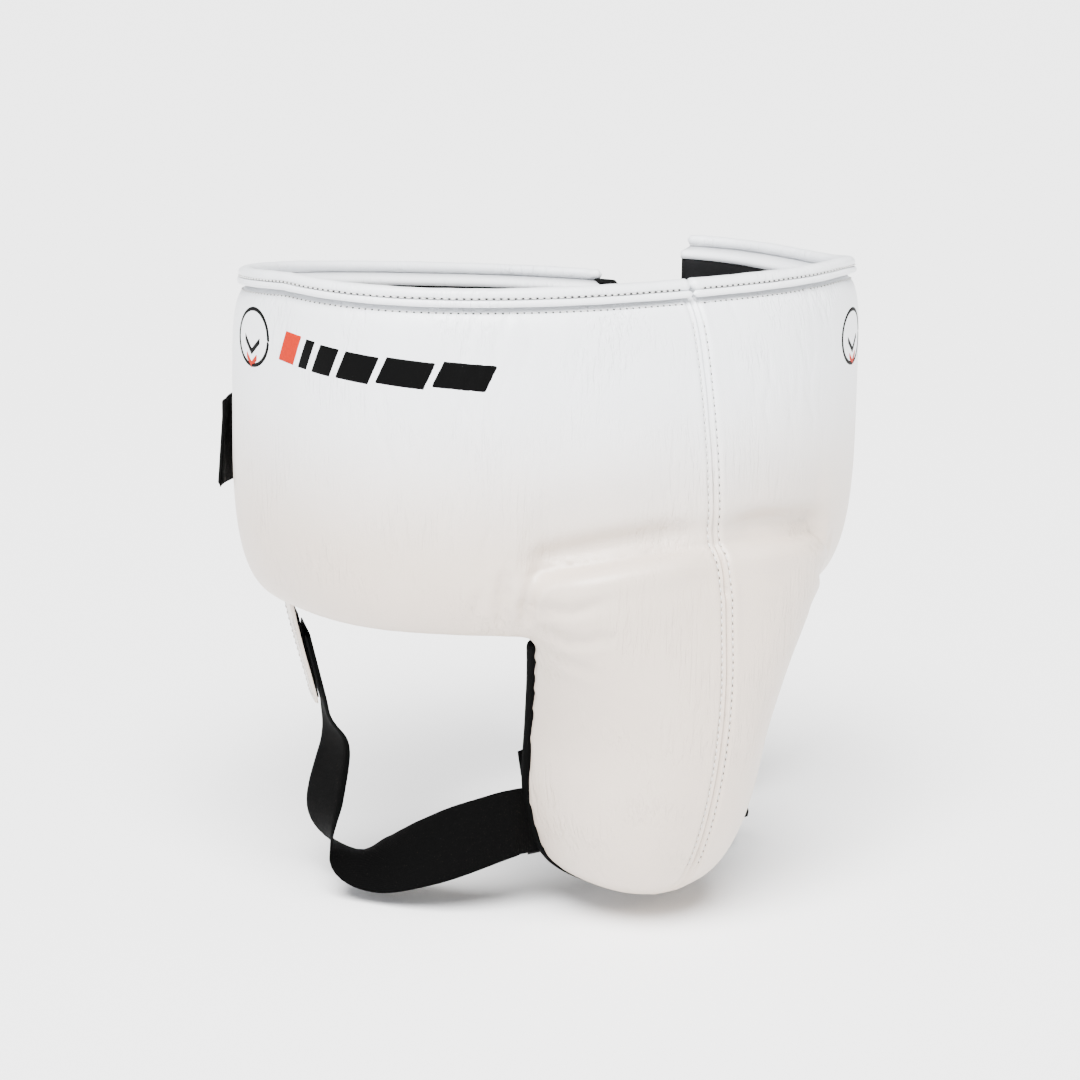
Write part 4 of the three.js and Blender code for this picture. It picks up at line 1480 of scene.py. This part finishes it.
@dataclass
class WaistClosure:
    """The elastic that closes the waist behind, its sewn patch, and its landing on the flap."""

    shop: Workshop
    width: float = 50.0
    height: float = -106.0
    tip_reach: float = 334.0
    depth: float = 30.9
    thickness: float = 2.0
    landing_from: float = 622.0
    landing_length: float = 222.0
    landing_height: float = 72.0
    patch_depth: float = 27.4
    hang_below: float = 0.15

    def band(self, reach: Array, depth: Array, height: float, thickness: float, rounding: float) -> tuple:
        """A plate on the padding's outside.

        Args:
            reach: Reaches of its columns.
            depth: Depth of its underside at each reach.
            height: Its width up and down.
            thickness: Its thickness.
            rounding: Width of its rolled edge.

        Returns:
            Vertices and faces.
        """
        waist = self.shop.waist
        z = self.height + np.linspace(-0.5, 0.5, 24) * height
        hang = np.linspace(1.0, self.hang_below, len(z))
        clear = np.where(depth[:, None] > self.depth, hang, 1.0)
        grid = waist.place(reach[:, None], self.depth + (depth[:, None] - self.depth) * clear, z[None, :])
        return plate(grid, waist.outwards(reach)[:, None], thickness, rounding)

    def box_stitches(self, surface: Surface) -> None:
        """Sews a box with a cross through the closure's patch.

        Args:
            surface: The patch's face.
        """
        waist = self.shop.waist
        low, high = waist.left_end - 41.0, waist.left_end - 5.0
        top, bottom = self.height + 26.0, self.height - 26.0
        corners = [(low, top), (high, top), (high, bottom), (low, bottom)]
        runs = [(corners[i], corners[j]) for i, j in ((0, 1), (1, 2), (2, 3), (3, 0), (0, 2), (1, 3))]
        rows = []
        for start, end in runs:
            reach, z = (np.linspace(a, b, 30) for a, b in zip(start, end))
            rows.append(surface.drop(waist.place(reach, 31.0, z), waist.outwards(reach), start=12.0))
        stitches = StitchRow(self.shop, pitch=3.6, stitch=2.4, thread=0.36, hole=0.6).build(
            "closure_box_stitches", rows)
        settle(stitches, "root", "white_leather")

    def build(self) -> None:
        """Builds the strap, the patch and the landing."""
        waist, finishes = self.shop.waist, self.shop.finishes
        tip = waist.length() - self.tip_reach
        reach = np.linspace(waist.left_end - 22.0, tip, 170)
        flare = 4.0 * smooth(1 - (tip - reach) / 40.0) - 2.3 * smooth((waist.left_end + 3.0 - reach) / 9.0)
        strap = self.band(reach, self.depth + flare, self.width, self.thickness, 0.9)
        hinge = np.array([waist.left_end - 2.0, waist.left_end + 4.0])
        start, end = waist.place(hinge, self.depth, self.height) * MM
        settle(make_object("closure_elastic", *strap, finishes.elastic), "waist_closure", "black_elastic",
               "closure_strap", bend=(Vector(start), Vector(end)))
        reach = np.linspace(waist.left_end - 45.0, waist.left_end - 0.8, 26)
        rise = 3.0 * smooth((reach - waist.left_end + 42.0) / 14.0)
        holder = self.band(reach, self.patch_depth + rise, self.width + 12.0, 2.2, 1.8)
        patch = make_object("closure_holder", *holder, finishes.leather)
        settle(patch, "root", "white_leather", "closure_patch")
        self.box_stitches(Surface(patch))
        reach = np.linspace(-self.landing_from, -self.landing_from + self.landing_length, 90)
        landing = self.band(reach, self.patch_depth + 0 * reach, self.landing_height, 2.0, 1.2)
        settle(make_object("closure_landing", *landing, finishes.pile), "back_flap", "fastener_tape",
               "loop_field")


# ---------------------------------------------------------------- printed marks
@dataclass
class Marks:
    """Plain geometric prints on the hips: a ring with a chevron, and slanted bars beside it."""

    shop: Workshop
    ink: float = 0.3
    ring_size: float = 16.0
    lean: float = 6.5
    bars: tuple = (
        (-249.0, -235.0, -29.5, -45.5, True),
        (-231.0, -224.0, -31.5, -47.0, False),
        (-220.0, -207.0, -33.0, -48.0, False),
        (-203.0, -183.0, -34.5, -49.0, False),
        (-179.0, -153.0, -35.5, -49.5, False),
        (-149.0, -122.0, -36.5, -50.0, False),
    )

    def mark(self, name: str, outline: Callable[[Array, Array], tuple[Array, Array]], rows: int,
             columns: int, surface: Surface, material: bpy.types.Material) -> None:
        """Prints a mapped rectangle onto the leather.

        Args:
            name: The piece's name.
            outline: Maps two shares from 0 to 1 to reach and height.
            rows: Rows of the print's grid.
            columns: Columns of the print's grid.
            surface: The leather's face.
            material: The ink.
        """
        u, v = np.meshgrid(np.linspace(0, 1, rows), np.linspace(0, 1, columns), indexing="ij")
        reach, z = outline(u, v)
        waist = self.shop.waist
        guess = waist.place(reach, waist.thickness, z)
        grid, normals = surface.drop(guess, waist.outwards(reach), start=15.0)
        points, faces = plate(grid - normals * 0.1, normals, self.ink, 0.3)
        settle(make_object(name, points, faces, material), "root", "white_leather")

    def bar(self, low: float, high: float, top: float, bottom: float) -> Callable:
        """A slanted bar whose top leans along the waist."""
        def outline(u: Array, v: Array) -> tuple[Array, Array]:
            lean = self.lean * (1 - v)
            return low + (high - low) * u + lean, top + (bottom - top) * v - 0.08 * (high - low) * u
        return outline

    def ring(self, centre: float, z: float, radius: float, width: float) -> Callable:
        """A ring round a centre."""
        def outline(u: Array, v: Array) -> tuple[Array, Array]:
            turn = 2 * math.pi * u * 0.999
            size = radius - width * v
            return centre + 1.25 * size * np.cos(turn), z + size * np.sin(turn)
        return outline

    def chevron(self, centre: float, z: float, size: float, lift: float) -> Callable:
        """A chevron inside the ring."""
        def outline(u: Array, v: Array) -> tuple[Array, Array]:
            across = (u - 0.5) * 2
            return centre + size * across, z + lift + np.abs(across) * 0.75 * size - 3.6 * v
        return outline

    def build(self, surface: Surface) -> None:
        """Prints both hips.

        Args:
            surface: The leather cover's face.
        """
        finishes = self.shop.finishes
        inks = {True: finishes.orange_ink, False: finishes.black_ink}
        for index, (*extent, accent) in enumerate(self.bars):
            self.mark(f"print_bar_{index + 1}", self.bar(*extent), 34, 20, surface, inks[accent])
        for side, centre, z in ((Side.RIGHT, -279.0, -38.0), (Side.LEFT, 139.0, -44.0)):
            ring = self.ring(centre, z, self.ring_size, 2.2)
            self.mark(f"print_ring_{side.label}", ring, 96, 5, surface, finishes.black_ink)
            for name, size, lift, accent in (("upper", 9.5, -6.0, False), ("lower", 6.5, -13.0, True)):
                chevron = self.chevron(centre, z, size, lift)
                self.mark(f"print_chevron_{name}_{side.label}", chevron, 24, 5, surface, inks[accent])


# ---------------------------------------------------------------- studio
@dataclass
class Studio:
    """Camera, soft light and a pale floor."""

    azimuth: float = -35.0
    elevation: float = 13.0
    roll: float = 1.0
    distance: float = 1.8
    target: tuple[float, float, float] = (0.0, 0.0, -0.170)
    pixels_per_metre: float = 1760.0
    frame_width: float = 1080.0
    shift: tuple[float, float] = (-0.0065, 0.0074)

    def camera(self) -> None:
        """Places the camera."""
        a, e, r = (math.radians(v) for v in (self.azimuth, self.elevation, self.roll))
        back = Vector((math.sin(a) * math.cos(e), -math.cos(a) * math.cos(e), math.sin(e)))
        right = Vector((math.cos(a), math.sin(a), 0))
        up = back.cross(right)
        across = right * math.cos(r) + up * math.sin(r)
        rise = up * math.cos(r) - right * math.sin(r)
        data = bpy.data.cameras.new("camera")
        data.sensor_width = 36.0
        data.lens = self.pixels_per_metre * self.distance * data.sensor_width / self.frame_width
        data.shift_x, data.shift_y = self.shift
        camera = bpy.data.objects.new("camera", data)
        bpy.context.scene.collection.objects.link(camera)
        matrix = Matrix((across, rise, back)).transposed().to_4x4()
        matrix.translation = Vector(self.target) + back * self.distance
        camera.matrix_world = matrix
        bpy.context.scene.camera = camera

    def lamp(self, name: str, place: tuple[float, float, float], size: float, power: float,
             colour: str = "#FFFFFF") -> None:
        """Adds a soft square lamp aimed at the object's middle."""
        data = bpy.data.lights.new(name, "AREA")
        data.size, data.energy, data.color = size, power, linear(colour)[:3]
        lamp = bpy.data.objects.new(name, data)
        bpy.context.scene.collection.objects.link(lamp)
        lamp.location = place
        lamp.rotation_mode = "QUATERNION"
        lamp.rotation_quaternion = (Vector(place) - Vector(self.target)).to_track_quat("Z", "Y")

    def skylight(self, towards: tuple[float, float, float], power: float) -> None:
        """Adds a wide, even light from above, as from a ceiling of softboxes."""
        data = bpy.data.lights.new("ceiling", "SUN")
        data.energy, data.angle = power, math.radians(40)
        lamp = bpy.data.objects.new("ceiling", data)
        bpy.context.scene.collection.objects.link(lamp)
        lamp.rotation_mode = "QUATERNION"
        lamp.rotation_quaternion = Vector(towards).to_track_quat("Z", "Y")

    def build(self, floor_height: float) -> None:
        """Makes the camera, the lamps, the sky and the floor.

        Args:
            floor_height: The floor's height in metres.
        """
        self.camera()
        self.skylight((-0.42, -0.5, 1.0), 14.5)
        self.lamp("left_fill", (-1.9, -0.6, 0.7), 0.9, 14.0, "#E9F0FF")
        self.lamp("right_fill", (1.5, -1.2, 0.5), 0.8, 6.0)
        world = bpy.data.worlds.new("studio")
        bpy.context.scene.world = world
        world.use_nodes = True
        sky = world.node_tree.nodes["Background"]
        sky.inputs["Color"].default_value = (1.0, 1.0, 1.0, 1.0)
        sky.inputs["Strength"].default_value = 0.6
        size = 40.0
        corners = np.array([(-1, -1, 0), (1, -1, 0), (1, 1, 0), (-1, 1, 0)]) * size / MM / 2
        corners[:, 2] = floor_height / MM
        floor = make_object("studio_floor", corners, [(0, 1, 2, 3)], Finish(
            "pale_paper_backdrop", "#FFFFFF", 0.9, grain=0.5, relief=0.0).build())


# ---------------------------------------------------------------- assembly
def dress_inner_nodes(finishes: Finishes) -> None:
    """Gives the CAD nodes that stay their own finishes."""
    kept = {
        "groin_cup": finishes.polypropylene,
        "closure_hook": finishes.pile,
        **{f"{name}_{side.label}": finishes.pile for name in ("leg_hook", "leg_tab_tape") for side in Side},
    }
    for name, material in kept.items():
        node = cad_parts[name]
        node.data.materials.clear()
        node.data.materials.append(material)
        LOG.info("%s keeps its solid", name)


def main() -> None:
    """Builds the protector from its largest pieces to its smallest, then the studio."""
    logging.basicConfig(level=logging.INFO, format="%(name)s %(message)s")
    shop = Workshop(Finishes())
    Studio().build(CAD_BOX[0][2] - 0.001)
    cover = PaddedCover(shop)
    surface = Surface(*cover.build().values())
    RimTrim(shop).build(surface)
    CentreSeam(shop).build(surface)
    Linings(shop).build()
    for side in Side:
        LegStrap(shop, side).build()
    WaistClosure(shop).build()
    Marks(shop).build(surface)
    dress_inner_nodes(shop.finishes)


if __name__ == "__main__":
    main()
